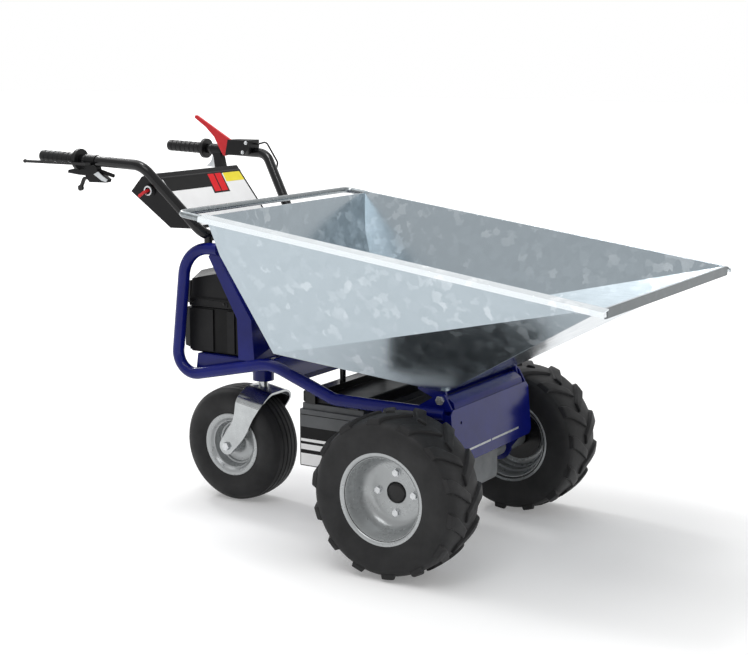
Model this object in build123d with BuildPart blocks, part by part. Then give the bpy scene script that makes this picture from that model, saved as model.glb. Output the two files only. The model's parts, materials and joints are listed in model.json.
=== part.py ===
from build123d import *
import os
from math import cos, radians, sin, tan

# Walk-behind electric mini dumper with a forward-tipping hopper, two drive wheels and a rear castor.
# Millimetres. +X is forward, +Y is the machine's left and +Z is up from the ground.
# A length called "ahead" is measured forward from the front axle.

# Front wheels
tyre_radius = 202.5
tyre_width = 165.0
lug_count = 14
lug_height = 11.0
lug_shoulder_fall = 9.0
track_width = 669.0
rim_seat_radius = 101.5
rim_flange_radius = 115.5
rim_width = 152.0
rim_well_radius = 84.0
rim_sheet = 4.0
hub_flange_radius = 64.0
hub_flange_thickness = 8.0
hub_cap_radius = 24.5
hub_cap_length = 16.0
shaft_radius = 12.5
shaft_length = 60.0
running_clearance = 0.05

# Castor
castor_radius = 163.5
castor_width = 122.0
castor_flats = 48
castor_behind_axle = 708.5
castor_trail = 75.5
castor_seat_radius = 77.0
castor_flange_radius = 88.5
castor_rim_width = 108.0
castor_well_radius = 62.0
castor_hub_radius = 22.0
castor_axle_radius = 8.0
castor_side_gap = 8.0
fork_sheet = 6.0
fork_crown_radius = 50.0
fork_crown_slope = 10.0
fork_crown_gap = 16.5
fork_end_radius = 24.0
stem_radius = 13.0
stem_show = 18.0
bush_radius = 30.0
bush_length = 54.0

# Frame
tube_radius = 16.0
tube_spread = 400.0
sheet = 3.0
tube_front_ahead = 58.0
front_rail_height = 374.0
front_rail_bend_ahead = -265.0
tube_crest_ahead = -464.0
tube_crest_height = 447.0
tube_heel_ahead = -779.0
tube_heel_height = 378.0
tube_arch_ahead = -737.0
tube_arch_height = 735.0
tube_arch_end_ahead = -628.0
tube_arch_bend = 84.0
tube_heel_bend = 55.0
tube_crest_bend = 130.0
front_rail_bend = 60.0

# Hopper, drawn along its own floor, which leans nose down at rest
hopper_tilt = 7.4
hopper_depth = 340.0
floor_length = 467.0
floor_half_rear = 268.0
floor_half_front = 198.0
chute_angle = 36.7
back_bend_height = 236.0
back_bend_run = 139.5
back_top_run = 35.0
rim_half_rear = 375.5
rim_half_front = 383.0
hopper_sheet = 3.0
flange_width = 26.0
flange_drop = 4.5
flange_lip = 13.0
lip_height = 22.0
lip_forward = 6.0
lip_return = 8.0
lip_end_gap = 0.2
rear_bar_radius = 8.5
rear_bar_drop = 9.0
back_edge_drop = 5.0
rear_bar_gap = 55.0
rear_bar_bend = 45.0

# Hopper hinge
pivot_ahead = 46.0
pivot_rise = 36.0
pivot_to_bend_ahead = 10.0
pivot_to_bend_up = 20.0
pivot_bolt_radius = 8.0
ear_thickness = 8.0
ear_radius = 13.0
ear_side_gap = 2.0
ear_run = 70.0
ear_tail = 24.0
hinge_plate_behind = 12.0
hinge_plate_sheet = 6.0
hinge_plate_drop = 6.0
gusset_thickness = 6.0
gusset_radius = 16.0
gusset_foot = 62.0
gusset_seat = 6.0
bolt_head_radius = 12.0
bolt_head_length = 8.0
chamfer_clearance = 3.5
chamfer_slope = 36.0

# Front cover plate and cross member
cover_half_width = 211.0
cover_rise = 14.0
cover_depth = 140.0
cover_lead = 4.0
cover_top_ahead = 76.0
cover_bottom_ahead = 89.0
cover_corner = 12.0
cover_hole_radius = 4.0
cover_hole_side = 163.0
cover_hole_drop = 38.0
cross_depth = 34.0

# Handlebar and controls
bar_radius = 14.0
grip_end_ahead = -1168.0
grip_rise = 13.0
grip_half_spread = 274.0
bar_bend_ahead = -815.0
bar_leg_rise = 186.0
bar_bend_half_spread = 279.0
bar_foot_ahead = -668.0
bar_foot_rise = 32.0
bar_foot_half_spread = 205.0
bar_bend_radius = 55.0
bar_foot_radius = 50.0
grip_radius = 16.5
grip_length = 130.0
grip_collar_radius = 29.0
grip_collar_length = 14.0
handle_reach = 1208.0
post_radius = 11.0

# Console, by distances up the handlebar's legs and back from their plane
console_left = 112.0
console_low = 25.5
console_high = 209.0
console_crown_up = 218.5
console_crown_back = 24.0
console_shoulder_up = 211.0
console_shoulder_back = 80.0
console_heel_up = 76.0
console_heel_back = 64.0
panel_low = 34.0
panel_high = 190.0
panel_border = 5.0
panel_side_gap = 17.0
panel_sheet = 2.0
key_up = 188.0
key_back = 32.0
key_base_radius = 16.0
key_base_length = 6.0
key_radius = 4.0
key_stand = 14.0
key_reach = 24.0
key_droop = -9.0

# Hand controls
lever_width = 13.0
lever_sheet = 7.0
lever_stand_out = 43.5
lever_drop = 11.0
clamp_radius = 16.0
clamp_rear_ahead = -1008.0
clamp_front_ahead = -972.0
bracket_sheet = 20.0
plate_sheet = 3.0
adjuster_radius = 5.0
finger_radius = 4.0
finger_ball = 8.0
throttle_outer_half = 20.0
throttle_inner_half = 34.0
throttle_rear_ahead = -933.0
throttle_front_ahead = -851.0
throttle_rise = 34.5
throttle_lever_side = 21.0
throttle_lever_sheet = 8.0
cable_radius = 2.5
cable_gap = 7.5
cable_rise = 26.0

# Battery and drive
battery_rear_ahead = -384.0
battery_length = 200.0
battery_gap = 2.7
battery_body_height = 168.0
battery_lid_height = 30.0
battery_half_width = 186.0
battery_lid_half_width = 176.0
gearbox_ahead = -10.0
gearbox_half_width = 90.0
gearbox_length = 130.0
gearbox_height = 116.0
axle_housing_radius = 25.0
housing_gap = 6.0

# Places worked out from the sizes above
axle_z = tyre_radius
wheel_y = track_width / 2
pivot_height = front_rail_height + pivot_rise
cover_top_height = front_rail_height + cover_rise
cover_bottom_height = cover_top_height - cover_depth
bar_foot_height = tube_arch_height + bar_foot_rise
bar_bend_height = bar_foot_height + bar_leg_rise
grip_height = bar_bend_height + grip_rise
bend_ahead = pivot_ahead + pivot_to_bend_ahead
bend_height = pivot_height + pivot_to_bend_up
tilt = radians(hopper_tilt)
chute_run = hopper_depth / tan(radians(chute_angle))
lip_ahead = bend_ahead + (chute_run + lip_forward) * cos(tilt) + hopper_depth * sin(tilt)
axle_x = (handle_reach - lip_ahead) / 2
tube_y = tube_spread / 2


def at(ahead, y, z):
    """Point of the machine from its distance ahead of the front axle."""
    return Vector(axle_x + ahead, y, z)


def side_plane(y):
    """Upright plane at y, drawn on as (ahead of the axle, height); it extrudes to the right."""
    return Plane(origin=at(0, y, 0), x_dir=(1, 0, 0), z_dir=(0, -1, 0))


def level_plane(z):
    """Level plane at height z, drawn on as (ahead of the axle, y)."""
    return Plane(origin=at(0, 0, z))


def section_plane(path):
    """Plane across the start of a path."""
    return Plane(origin=path @ 0, z_dir=path % 0)


def mirror_plane(plane):
    """The other hand of a plane, across the machine's middle plane."""
    return Plane(
        origin=(plane.origin.X, -plane.origin.Y, plane.origin.Z),
        x_dir=(plane.x_dir.X, -plane.x_dir.Y, plane.x_dir.Z),
        z_dir=(plane.z_dir.X, -plane.z_dir.Y, plane.z_dir.Z),
    )


def mirrored(piece):
    """The other hand of a piece, across the machine's middle plane."""
    with BuildPart() as twin:
        mirror(piece, about=Plane.XZ)
    return twin.part


# Frame side tube, left: arch behind the hopper, rear leg, low run over the castor, straight front rail
with BuildPart() as frame_tube_left:
    with BuildLine() as tube_path:
        FilletPolyline(
            at(tube_arch_end_ahead, tube_y, tube_arch_height),
            at(tube_arch_ahead, tube_y, tube_arch_height),
            at(tube_heel_ahead, tube_y, tube_heel_height),
            at(tube_crest_ahead, tube_y, tube_crest_height),
            at(front_rail_bend_ahead, tube_y, front_rail_height),
            at(tube_front_ahead, tube_y, front_rail_height),
            radius=[tube_arch_bend, tube_heel_bend, tube_crest_bend, front_rail_bend],
        )
    with BuildSketch(section_plane(tube_path.line)):
        Circle(tube_radius)
    sweep()
frame_tubes = [frame_tube_left.part, mirrored(frame_tube_left.part)]

# Bulkhead: folded sheet behind the hopper, its side flanges standing on the tubes
bulkhead_foot_ahead = -514.0
bulkhead_knee_ahead = -523.0
bulkhead_knee_share = 0.38
bulkhead_top_ahead = -640.0
bulkhead_foot_flange = 52.0
bulkhead_knee_flange = 46.0
bulkhead_top_flange = 20.0
bulkhead_proud = 4.0
floor_top = 446.0
rear_bay = tube_arch_height - floor_top
bulkhead_knee_height = floor_top + bulkhead_knee_share * rear_bay
bulkhead_half_width = tube_y + bulkhead_proud
bulkhead_depth = 200.0
with BuildPart() as bulkhead:
    with BuildSketch(side_plane(bulkhead_half_width)):
        with BuildLine():
            Polyline(
                (bulkhead_foot_ahead, floor_top),
                (bulkhead_knee_ahead, bulkhead_knee_height),
                (bulkhead_top_ahead, tube_arch_height),
                (bulkhead_top_ahead - bulkhead_top_flange, tube_arch_height - bulkhead_top_flange),
                (bulkhead_knee_ahead - bulkhead_knee_flange, bulkhead_knee_height),
                (bulkhead_foot_ahead - bulkhead_foot_flange, floor_top),
                close=True,
            )
        make_face()
    extrude(amount=2 * bulkhead_half_width)
    with BuildSketch(side_plane(bulkhead_half_width - sheet)):
        with BuildLine():
            Polyline(
                (bulkhead_foot_ahead - sheet, floor_top),
                (bulkhead_knee_ahead - sheet, bulkhead_knee_height),
                (bulkhead_top_ahead - sheet, tube_arch_height),
                (bulkhead_top_ahead - bulkhead_depth, tube_arch_height),
                (bulkhead_foot_ahead - bulkhead_depth, floor_top),
                close=True,
            )
        make_face()
    extrude(amount=2 * (bulkhead_half_width - sheet), mode=Mode.SUBTRACT)
    for tube in frame_tubes:
        add(tube, mode=Mode.SUBTRACT)

# Castor mount: side plates inside the tubes, a web between them and the swivel's bush below it
swivel_ahead = castor_trail - castor_behind_axle
crown_top = castor_radius * 2 + fork_crown_gap - castor_trail * tan(radians(fork_crown_slope))
bush_bottom = crown_top + stem_show
mount_bottom = bush_bottom + bush_length
mount_web = 8.0
mount_half_length = 45.0
mount_half_width = tube_y - tube_radius
mount_plate = 6.0
mount_plate_sunk = 10.0
mount_rear_ahead = -717.0
mount_rear_slant = 9.0
mount_front_ahead = -540.0
heel_to_crest = (tube_crest_height - tube_heel_height) / (tube_crest_ahead - tube_heel_ahead)


def low_run_height(ahead):
    """Height of the side tube's middle between its heel and its crest."""
    return tube_heel_height + (ahead - tube_heel_ahead) * heel_to_crest


with BuildPart() as castor_mount:
    with BuildSketch(side_plane(mount_half_width)):
        with BuildLine():
            Polyline(
                (mount_rear_ahead, floor_top - sheet),
                (mount_rear_ahead - mount_rear_slant, low_run_height(mount_rear_ahead) - mount_plate_sunk),
                (mount_front_ahead, low_run_height(mount_front_ahead) - mount_plate_sunk),
                (mount_front_ahead, floor_top - sheet),
                close=True,
            )
        make_face()
    extrude(amount=mount_plate)
    mirror(about=Plane.XZ)
    with BuildSketch(level_plane(mount_bottom)):
        with Locations((swivel_ahead, 0)):
            Rectangle(2 * mount_half_length, 2 * mount_half_width - mount_plate)
    extrude(amount=mount_web)
    with BuildSketch(level_plane(bush_bottom)):
        with Locations((swivel_ahead, 0)):
            Circle(bush_radius)
    extrude(amount=bush_length)
    with BuildSketch(level_plane(bush_bottom)):
        with Locations((swivel_ahead, 0)):
            Circle(stem_radius + running_clearance)
    extrude(amount=bush_length + mount_web, mode=Mode.SUBTRACT)

# Rear floor plate on the castor mount, under the rear case
with BuildPart() as rear_floor:
    with BuildSketch(level_plane(floor_top - sheet)):
        with BuildLine():
            Polyline(
                (mount_rear_ahead, -mount_half_width),
                (bulkhead_foot_ahead, -mount_half_width),
                (bulkhead_foot_ahead, mount_half_width),
                (mount_rear_ahead, mount_half_width),
                close=True,
            )
        make_face()
    extrude(amount=sheet)
    for tube in frame_tubes:
        add(tube, mode=Mode.SUBTRACT)

# Front cross member: closed section between the front rails, its top chamfered for the tipped chute
chute_lean = radians(chute_angle - hopper_tilt)
pivot_to_chute = pivot_to_bend_up * cos(chute_lean) - pivot_to_bend_ahead * sin(chute_lean)
chamfer_distance = pivot_to_chute - chamfer_clearance
slope = radians(chamfer_slope)
chamfer_ahead = pivot_ahead + chamfer_distance * sin(slope)
chamfer_height = pivot_height + chamfer_distance * cos(slope)
chamfer_end_height = chamfer_height - (cover_top_ahead - cover_lead - chamfer_ahead) * tan(slope)
cross_half_width = tube_y - tube_radius
with BuildPart() as front_cross_member:
    with BuildSketch(side_plane(cross_half_width)):
        with BuildLine():
            Polyline(
                (chamfer_ahead, chamfer_height),
                (cover_top_ahead - cover_lead, chamfer_end_height),
                (cover_top_ahead, cover_top_height),
                (cover_top_ahead, front_rail_height - tube_radius),
                (cover_top_ahead - cross_depth, front_rail_height - tube_radius),
                (cover_top_ahead - cross_depth, chamfer_height),
                close=True,
            )
        make_face()
    extrude(amount=2 * cross_half_width)

# Front cover plate: flat sheet across the nose with cut corners and one small hole
cover_top = at(cover_top_ahead, 0, cover_top_height)
cover_fall = at(cover_bottom_ahead, 0, cover_bottom_height) - cover_top
cover_plane = Plane(origin=cover_top, x_dir=(0, 1, 0), z_dir=Vector(0, 1, 0).cross(-cover_fall))
with BuildPart() as front_cover:
    with BuildSketch(cover_plane):
        with Locations((0, -cover_fall.length / 2)):
            Rectangle(2 * cover_half_width, cover_fall.length)
        chamfer(vertices(), cover_corner)
        with Locations((-cover_hole_side, -cover_hole_drop)):
            Circle(cover_hole_radius, mode=Mode.SUBTRACT)
    extrude(amount=sheet)

# Gussets on the front rails that carry the hopper's pivot bolts
ear_outer = cross_half_width + ear_side_gap + ear_thickness
gusset_inner = ear_outer + ear_side_gap
gusset_outer = gusset_inner + gusset_thickness
rail_top = front_rail_height + tube_radius
with BuildPart() as pivot_gussets:
    with BuildSketch(side_plane(gusset_outer)):
        with Locations((pivot_ahead, pivot_height)):
            Circle(gusset_radius)
        with Locations((cover_top_ahead, rail_top - gusset_seat)):
            Rectangle(cover_top_ahead - pivot_ahead + gusset_foot, gusset_seat, align=(Align.MAX, Align.MIN))
        make_hull()
        with Locations((pivot_ahead, pivot_height)):
            Circle(pivot_bolt_radius, mode=Mode.SUBTRACT)
    extrude(amount=gusset_thickness)
    add(frame_tube_left.part, mode=Mode.SUBTRACT)
    mirror(about=Plane.XZ)

# Pivot bolts: hexagon heads outside the gussets, shanks through the ears to the cross member
with BuildPart() as pivot_bolts:
    with BuildSketch(side_plane(cross_half_width)):
        with Locations((pivot_ahead, pivot_height)):
            Circle(pivot_bolt_radius)
    extrude(amount=cross_half_width - gusset_outer)
    with BuildSketch(side_plane(gusset_outer)):
        with Locations((pivot_ahead, pivot_height)):
            RegularPolygon(bolt_head_radius, 6)
    extrude(amount=-bolt_head_length)
    mirror(about=Plane.XZ)

# Hopper: a wedge of folded sheet, drawn on a plane along its floor with the floor's front bend at zero
hopper_plane = Plane(origin=at(bend_ahead, 0, bend_height), x_dir=(cos(tilt), 0, -sin(tilt)), z_dir=(0, -1, 0))
back_bend = (-floor_length - back_bend_run, back_bend_height)
rim_rear = -floor_length - back_bend_run - back_top_run


def in_hopper(along, y, up):
    """Point of the machine from its place along the hopper's floor and up from it."""
    return hopper_plane.from_local_coords((along, up, -y))


def panel_plane(a, b, c):
    """Plane through three hopper points, facing away from the load."""
    facing = (c - a).cross(b - a).normalized()
    return Plane(origin=a, x_dir=(b - a).normalized(), z_dir=facing)


def hopper_block(side_inset, panel_inset, headroom):
    """Wedge between the hopper's panels, drawn in from its sides and from its floor, chute and back."""
    top = hopper_depth + headroom
    back_slope = back_top_run / (hopper_depth - back_bend_height)
    rear = in_hopper(-floor_length, floor_half_rear, 0)
    front = in_hopper(0, floor_half_front, 0)
    nose = in_hopper(chute_run, rim_half_front, hopper_depth)
    tail = in_hopper(rim_rear, rim_half_rear, hopper_depth)
    with BuildPart() as block:
        with BuildSketch(hopper_plane):
            with BuildLine():
                Polyline(
                    (-floor_length, 0),
                    (0, 0),
                    (top / tan(radians(chute_angle)), top),
                    (rim_rear - headroom * back_slope, top),
                    back_bend,
                    close=True,
                )
            make_face()
            if panel_inset:
                offset(amount=-panel_inset, kind=Kind.INTERSECTION)
        extrude(amount=2 * rim_half_front, both=True)
        for panel in (panel_plane(tail, rear, nose), panel_plane(rear, front, nose)):
            panel = panel.offset(-side_inset)
            split(bisect_by=panel, keep=Keep.BOTTOM)
            split(bisect_by=mirror_plane(panel), keep=Keep.BOTTOM)
    return block.part


hopper_headroom = 60.0
hopper_outside = hopper_block(0, 0, 0)
between_sides = hopper_block(hopper_sheet, -hopper_sheet, hopper_headroom)
inside_floor = hopper_block(hopper_sheet, 0, 0)
load_space = hopper_block(0, hopper_sheet, hopper_headroom)

# Floor sheet: back wall, floor and chute in one folded strip
with BuildPart() as hopper_floor:
    add(inside_floor)
    add(load_space, mode=Mode.SUBTRACT)
    with BuildSketch(hopper_plane):
        with Locations((rim_rear, hopper_depth)):
            Rectangle(2 * back_top_run, 2 * back_edge_drop)
    extrude(amount=2 * rim_half_rear, both=True, mode=Mode.SUBTRACT)

# Side sheets, each folded along the diagonal from the floor's rear corner to the lip
with BuildPart() as hopper_side_left:
    add(hopper_outside)
    add(between_sides, mode=Mode.SUBTRACT)
    split(bisect_by=Plane.XZ, keep=Keep.BOTTOM)

# Side rim: flange folded outward and down along the top of the side sheet
tail_top = in_hopper(rim_rear, rim_half_rear, hopper_depth)
nose_top = in_hopper(chute_run + lip_forward, rim_half_front, hopper_depth)
rim_line = (nose_top - tail_top).normalized()
rim_up = hopper_plane.y_dir
side_slope = (rim_half_rear - floor_half_rear) / hopper_depth
rim_plane = Plane(origin=tail_top, x_dir=rim_up.cross(rim_line), z_dir=rim_line)
with BuildPart() as hopper_rim_left:
    with BuildSketch(rim_plane):
        with BuildLine():
            Polyline(
                (0, 0),
                (flange_width, -flange_drop),
                (flange_width, -flange_drop - flange_lip),
                (flange_width - hopper_sheet, -flange_drop - flange_lip),
                (flange_width - hopper_sheet, -flange_drop - hopper_sheet),
                (-side_slope * hopper_sheet, -hopper_sheet),
                close=True,
            )
        make_face()
    extrude(amount=(nose_top - tail_top).length)
    add(hopper_side_left.part, mode=Mode.SUBTRACT)

# Front lip: the chute's top edge folded down and back
chute_rise = tan(radians(chute_angle))
lip_half = rim_half_front - side_slope * hopper_sheet - lip_end_gap
with BuildPart() as hopper_lip:
    with BuildSketch(hopper_plane.offset(-lip_half)):
        with BuildLine():
            Polyline(
                (chute_run, hopper_depth),
                (chute_run + hopper_sheet, hopper_depth),
                (chute_run + lip_forward, hopper_depth - lip_height),
                (chute_run + lip_forward - lip_return, hopper_depth - lip_height - hopper_sheet),
                (chute_run + lip_forward - lip_return, hopper_depth - lip_height),
                (chute_run + lip_forward - hopper_sheet, hopper_depth - lip_height + hopper_sheet),
                (chute_run, hopper_depth - 2 * hopper_sheet),
                (chute_run - hopper_sheet / chute_rise, hopper_depth - hopper_sheet),
                close=True,
            )
        make_face()
    extrude(amount=2 * lip_half)

# Rear bar: a bent tube behind the back wall, from rim end to rim end, for lifting the hopper
bar_foot_drop = flange_drop + flange_lip / 2
bar_half_spread = rim_half_rear + flange_width / 2
bar_rear = rim_rear - rear_bar_gap - rear_bar_radius
with BuildPart() as hopper_rear_bar:
    with BuildLine() as bar_path:
        FilletPolyline(
            in_hopper(rim_rear, bar_half_spread, hopper_depth - bar_foot_drop),
            in_hopper(bar_rear, bar_half_spread, hopper_depth - rear_bar_drop),
            in_hopper(bar_rear, -bar_half_spread, hopper_depth - rear_bar_drop),
            in_hopper(rim_rear, -bar_half_spread, hopper_depth - bar_foot_drop),
            radius=rear_bar_bend,
        )
    with BuildSketch(section_plane(bar_path.line)):
        Circle(rear_bar_radius)
    sweep()
    add(hopper_side_left.part, mode=Mode.SUBTRACT)
    add(hopper_rim_left.part, mode=Mode.SUBTRACT)
    add(mirrored(hopper_side_left.part), mode=Mode.SUBTRACT)
    add(mirrored(hopper_rim_left.part), mode=Mode.SUBTRACT)

# Hinge ears under the floor, one at each end of the cross member, and the plate that joins them
ear_inner = cross_half_width + ear_side_gap
ear_nose = 2.0
hinge_plate_rear = pivot_ahead - hinge_plate_behind - hinge_plate_sheet
with BuildPart() as hopper_ears:
    with BuildSketch(side_plane(ear_outer)):
        with BuildLine():
            Polyline(
                (pivot_ahead + ear_radius - ear_nose, pivot_height),
                (bend_ahead - ear_nose, bend_height + 2 * ear_nose),
                (pivot_ahead - ear_run, bend_height + ear_tail),
                (pivot_ahead - ear_run, bend_height),
                (pivot_ahead - ear_radius, pivot_height - 2 * ear_nose),
                close=True,
            )
        make_face()
        with Locations((pivot_ahead, pivot_height)):
            Circle(ear_radius)
            Circle(pivot_bolt_radius + running_clearance, mode=Mode.SUBTRACT)
    extrude(amount=ear_thickness)
    mirror(about=Plane.XZ)
    with BuildSketch(side_plane(ear_inner)):
        with Locations((hinge_plate_rear, pivot_height - hinge_plate_drop)):
            Rectangle(hinge_plate_sheet, hinge_plate_drop + pivot_to_bend_up + ear_tail, align=Align.MIN)
    extrude(amount=2 * ear_inner)
    add(hopper_outside, mode=Mode.SUBTRACT)

# Stop bar across the rails, with two stop bolts under the hopper's floor
stop_ahead = -305.0
stop_bar_height = 18.0
stop_bar_rise = 12.0
stop_bar_length = 30.0
stop_half_spread = 100.0
stop_radius = 8.0
stop_clearance = 0.3
rail_drop = (tube_crest_height - front_rail_height) / (front_rail_bend_ahead - tube_crest_ahead)


def rail_height(ahead):
    """Height of the side tube's middle between its crest and its front end."""
    return front_rail_height + max(0, front_rail_bend_ahead - ahead) * rail_drop


stop_bar_top = rail_height(stop_ahead) + stop_bar_rise
with BuildPart() as stop_bar:
    with BuildSketch(level_plane(stop_bar_top - stop_bar_height)):
        with Locations((stop_ahead, 0)):
            Rectangle(stop_bar_length, 2 * tube_y - tube_radius)
    extrude(amount=stop_bar_height)
    for tube in frame_tubes:
        add(tube, mode=Mode.SUBTRACT)
stop_floor = Plane(origin=hopper_plane.origin - hopper_plane.y_dir * stop_clearance, x_dir=(0, 1, 0),
                   z_dir=hopper_plane.y_dir)
with BuildPart() as hopper_stops:
    with BuildSketch(level_plane(stop_bar_top)):
        with Locations((stop_ahead, stop_half_spread), (stop_ahead, -stop_half_spread)):
            Circle(stop_radius)
    extrude(amount=200)
    split(bisect_by=stop_floor, keep=Keep.BOTTOM)

# Battery case under the stop bar, with its lid and the hangers from the tubes to its shoulders
battery_lid_top = stop_bar_top - stop_bar_height - battery_gap
battery_bottom = battery_lid_top - battery_lid_height - battery_body_height
battery_middle = battery_rear_ahead + battery_length / 2
battery_body_top = battery_bottom + battery_body_height
with BuildPart() as battery_case:
    with BuildSketch(level_plane(battery_bottom)):
        with Locations((battery_middle, 0)):
            RectangleRounded(battery_length, 2 * battery_half_width, 8)
    extrude(amount=battery_body_height)
with BuildPart() as battery_lid:
    with BuildSketch(level_plane(battery_body_top)):
        with Locations((battery_middle, 0)):
            RectangleRounded(battery_length - 4, 2 * battery_lid_half_width, 8)
    extrude(amount=battery_lid_height)
hanger_width = 30.0
hanger_sheet = 8.0
hanger_inset = 34.0
with BuildPart() as battery_hangers:
    for ahead in (battery_rear_ahead + hanger_inset, battery_rear_ahead + battery_length - hanger_inset):
        with BuildSketch(side_plane(battery_half_width)):
            with Locations((ahead, battery_body_top)):
                Rectangle(hanger_width, rail_height(ahead) - battery_body_top, align=(Align.CENTER, Align.MIN))
        extrude(amount=hanger_sheet)
    add(frame_tube_left.part, mode=Mode.SUBTRACT)
    mirror(about=Plane.XZ)

# Rear case on the floor plate, behind the bulkhead, with a skirted lid that slopes to the front
case_half_width = 168.0
case_front_ahead = -572.0
case_rear_ahead = -752.0
case_split_share = 0.436
case_top_gap = 69.0
case_top_fall = 20.0
case_crest_ahead = -657.0
case_slope_foot = -601.0
case_split_height = floor_top + case_split_share * rear_bay
case_top_height = tube_arch_height - case_top_gap
case_lid_skirt = 25.0
case_lid_overhang = 6.0
case_lid_taper = 6.0
with BuildPart() as rear_case:
    with BuildSketch(side_plane(case_half_width)):
        with BuildLine():
            Polyline(
                (case_rear_ahead, floor_top),
                (case_front_ahead, floor_top),
                (case_front_ahead, case_split_height),
                (case_rear_ahead, case_split_height),
                close=True,
            )
        make_face()
    extrude(amount=2 * case_half_width)
with BuildPart() as rear_case_lid:
    with BuildSketch(side_plane(case_half_width)):
        with BuildLine():
            Polyline(
                (case_rear_ahead, case_split_height),
                (case_slope_foot, case_split_height),
                (case_slope_foot, case_split_height + case_lid_skirt),
                (case_crest_ahead, case_top_height),
                (case_rear_ahead + case_lid_taper, case_top_height - case_top_fall),
                close=True,
            )
        make_face()
    extrude(amount=2 * case_half_width)
    with BuildSketch(side_plane(case_half_width + case_lid_overhang)):
        with Locations((case_rear_ahead, case_split_height)):
            Rectangle(case_slope_foot - case_rear_ahead, case_lid_skirt, align=Align.MIN)
    extrude(amount=2 * (case_half_width + case_lid_overhang))

# Gearbox with its axle housings, and the drive motor behind it
housing_end = wheel_y - rim_sheet - hub_flange_thickness - housing_gap
with BuildPart() as gearbox:
    with BuildSketch(side_plane(gearbox_half_width)):
        with Locations((gearbox_ahead, axle_z)):
            RectangleRounded(gearbox_length, gearbox_height, 18)
    extrude(amount=2 * gearbox_half_width)
    with BuildSketch(side_plane(housing_end)):
        with Locations((0, axle_z)):
            Circle(axle_housing_radius)
    extrude(amount=2 * housing_end)
    for end in (housing_end, -housing_end + shaft_length):
        with BuildSketch(side_plane(end)):
            with Locations((0, axle_z)):
                Circle(shaft_radius + running_clearance)
        extrude(amount=shaft_length, mode=Mode.SUBTRACT)
motor_radius = 52.0
motor_length = 90.0
motor_face = at(gearbox_ahead - gearbox_length / 2, 0, axle_z)
with BuildPart() as drive_motor:
    with BuildSketch(Plane(origin=motor_face, x_dir=(0, 1, 0), z_dir=(-1, 0, 0))):
        Circle(motor_radius)
    extrude(amount=motor_length)

# Axle brackets: plates from the front rails down round the axle housings
bracket_thickness = 8.0
bracket_rear = -62.0
bracket_front = 74.0
bracket_bottom_radius = 38.0
with BuildPart() as axle_brackets:
    with BuildSketch(side_plane(tube_y + bracket_thickness / 2)):
        with BuildLine():
            Polyline(
                (bracket_rear, front_rail_height),
                (bracket_front, front_rail_height),
                (bracket_front, cover_bottom_height),
                (bracket_bottom_radius, axle_z),
                (-bracket_bottom_radius, axle_z),
                close=True,
            )
        make_face()
        with Locations((0, axle_z)):
            Circle(bracket_bottom_radius)
            Circle(axle_housing_radius, mode=Mode.SUBTRACT)
    extrude(amount=bracket_thickness)
    add(frame_tube_left.part, mode=Mode.SUBTRACT)
    mirror(about=Plane.XZ)


def wheel_plane(ahead, y, z):
    """Plane through a wheel's axis, drawn on as (outward along the axle, radius)."""
    return Plane(origin=at(ahead, y, z), x_dir=(0, 1, 0), z_dir=(1, 0, 0))


def across_axle(ahead, y, z):
    """Plane across a wheel's axle, with a corner of a many-sided shape on it at the ground."""
    return Plane(origin=at(ahead, y, z), x_dir=(1, 0, 0), z_dir=(0, 1, 0))


def ring_stack(ahead, y, z, outline, flats):
    """Solid of flat faces round a wheel's axle, through sections given by their side and their radius."""
    turns = [radians(360 * corner / flats) for corner in range(flats)]
    rings = []
    for side, radius in outline:
        ring_plane = across_axle(ahead, y + side, z)
        rings.append([ring_plane.from_local_coords((radius * sin(t), radius * cos(t))) for t in turns])
    faces = [Face(Wire.make_polygon(rings[0])), Face(Wire.make_polygon(rings[-1]))]
    for near, far in zip(rings, rings[1:]):
        for i in range(flats):
            faces.append(Face(Wire.make_polygon([near[i - 1], near[i], far[i], far[i - 1]])))
    with BuildPart() as stack:
        add(Solid(Shell(faces)))
    return stack.part


def both_walls(half):
    """Outline from wall to wall, from its outer half."""
    return [(-side, radius) for side, radius in half] + [(side, radius) for side, radius in reversed(half)]


def lug_plane(turn):
    """Plane on the axle facing out at a turn from straight down, drawn on as (rolling direction, left)."""
    angle = radians(turn)
    return Plane(
        origin=at(0, wheel_y, axle_z),
        x_dir=(-cos(angle), 0, sin(angle)),
        z_dir=(-sin(angle), 0, -cos(angle)),
    )


# Front tyre, left: a carcass of flats, four to a lug, under two rows of bent lugs half a step apart
half_width = tyre_width / 2
seat_half = rim_width / 2 - rim_sheet
front_axle = Axis(at(0, wheel_y, axle_z), (0, 1, 0))
tyre_flats = 4 * lug_count
lug_step = 360 / lug_count
crown_radius = tyre_radius - lug_height
carcass_half = [
    (seat_half, rim_flange_radius),
    (half_width, (rim_flange_radius + crown_radius) / 2),
    (half_width - 3, crown_radius - 13),
    (half_width - 20, crown_radius),
]
lug_tip_half = [(half_width, tyre_radius - lug_shoulder_fall), (half_width - 24, tyre_radius)]
lug_foot = crown_radius - 20
lug_outline = [(-45, half_width), (-37, 58), (13, -5), (45, -5), (7, 58), (1, half_width)]
lug_tips = ring_stack(0, wheel_y, axle_z, both_walls(lug_tip_half), tyre_flats)
carcass = ring_stack(0, wheel_y, axle_z, both_walls(carcass_half), tyre_flats)
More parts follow.
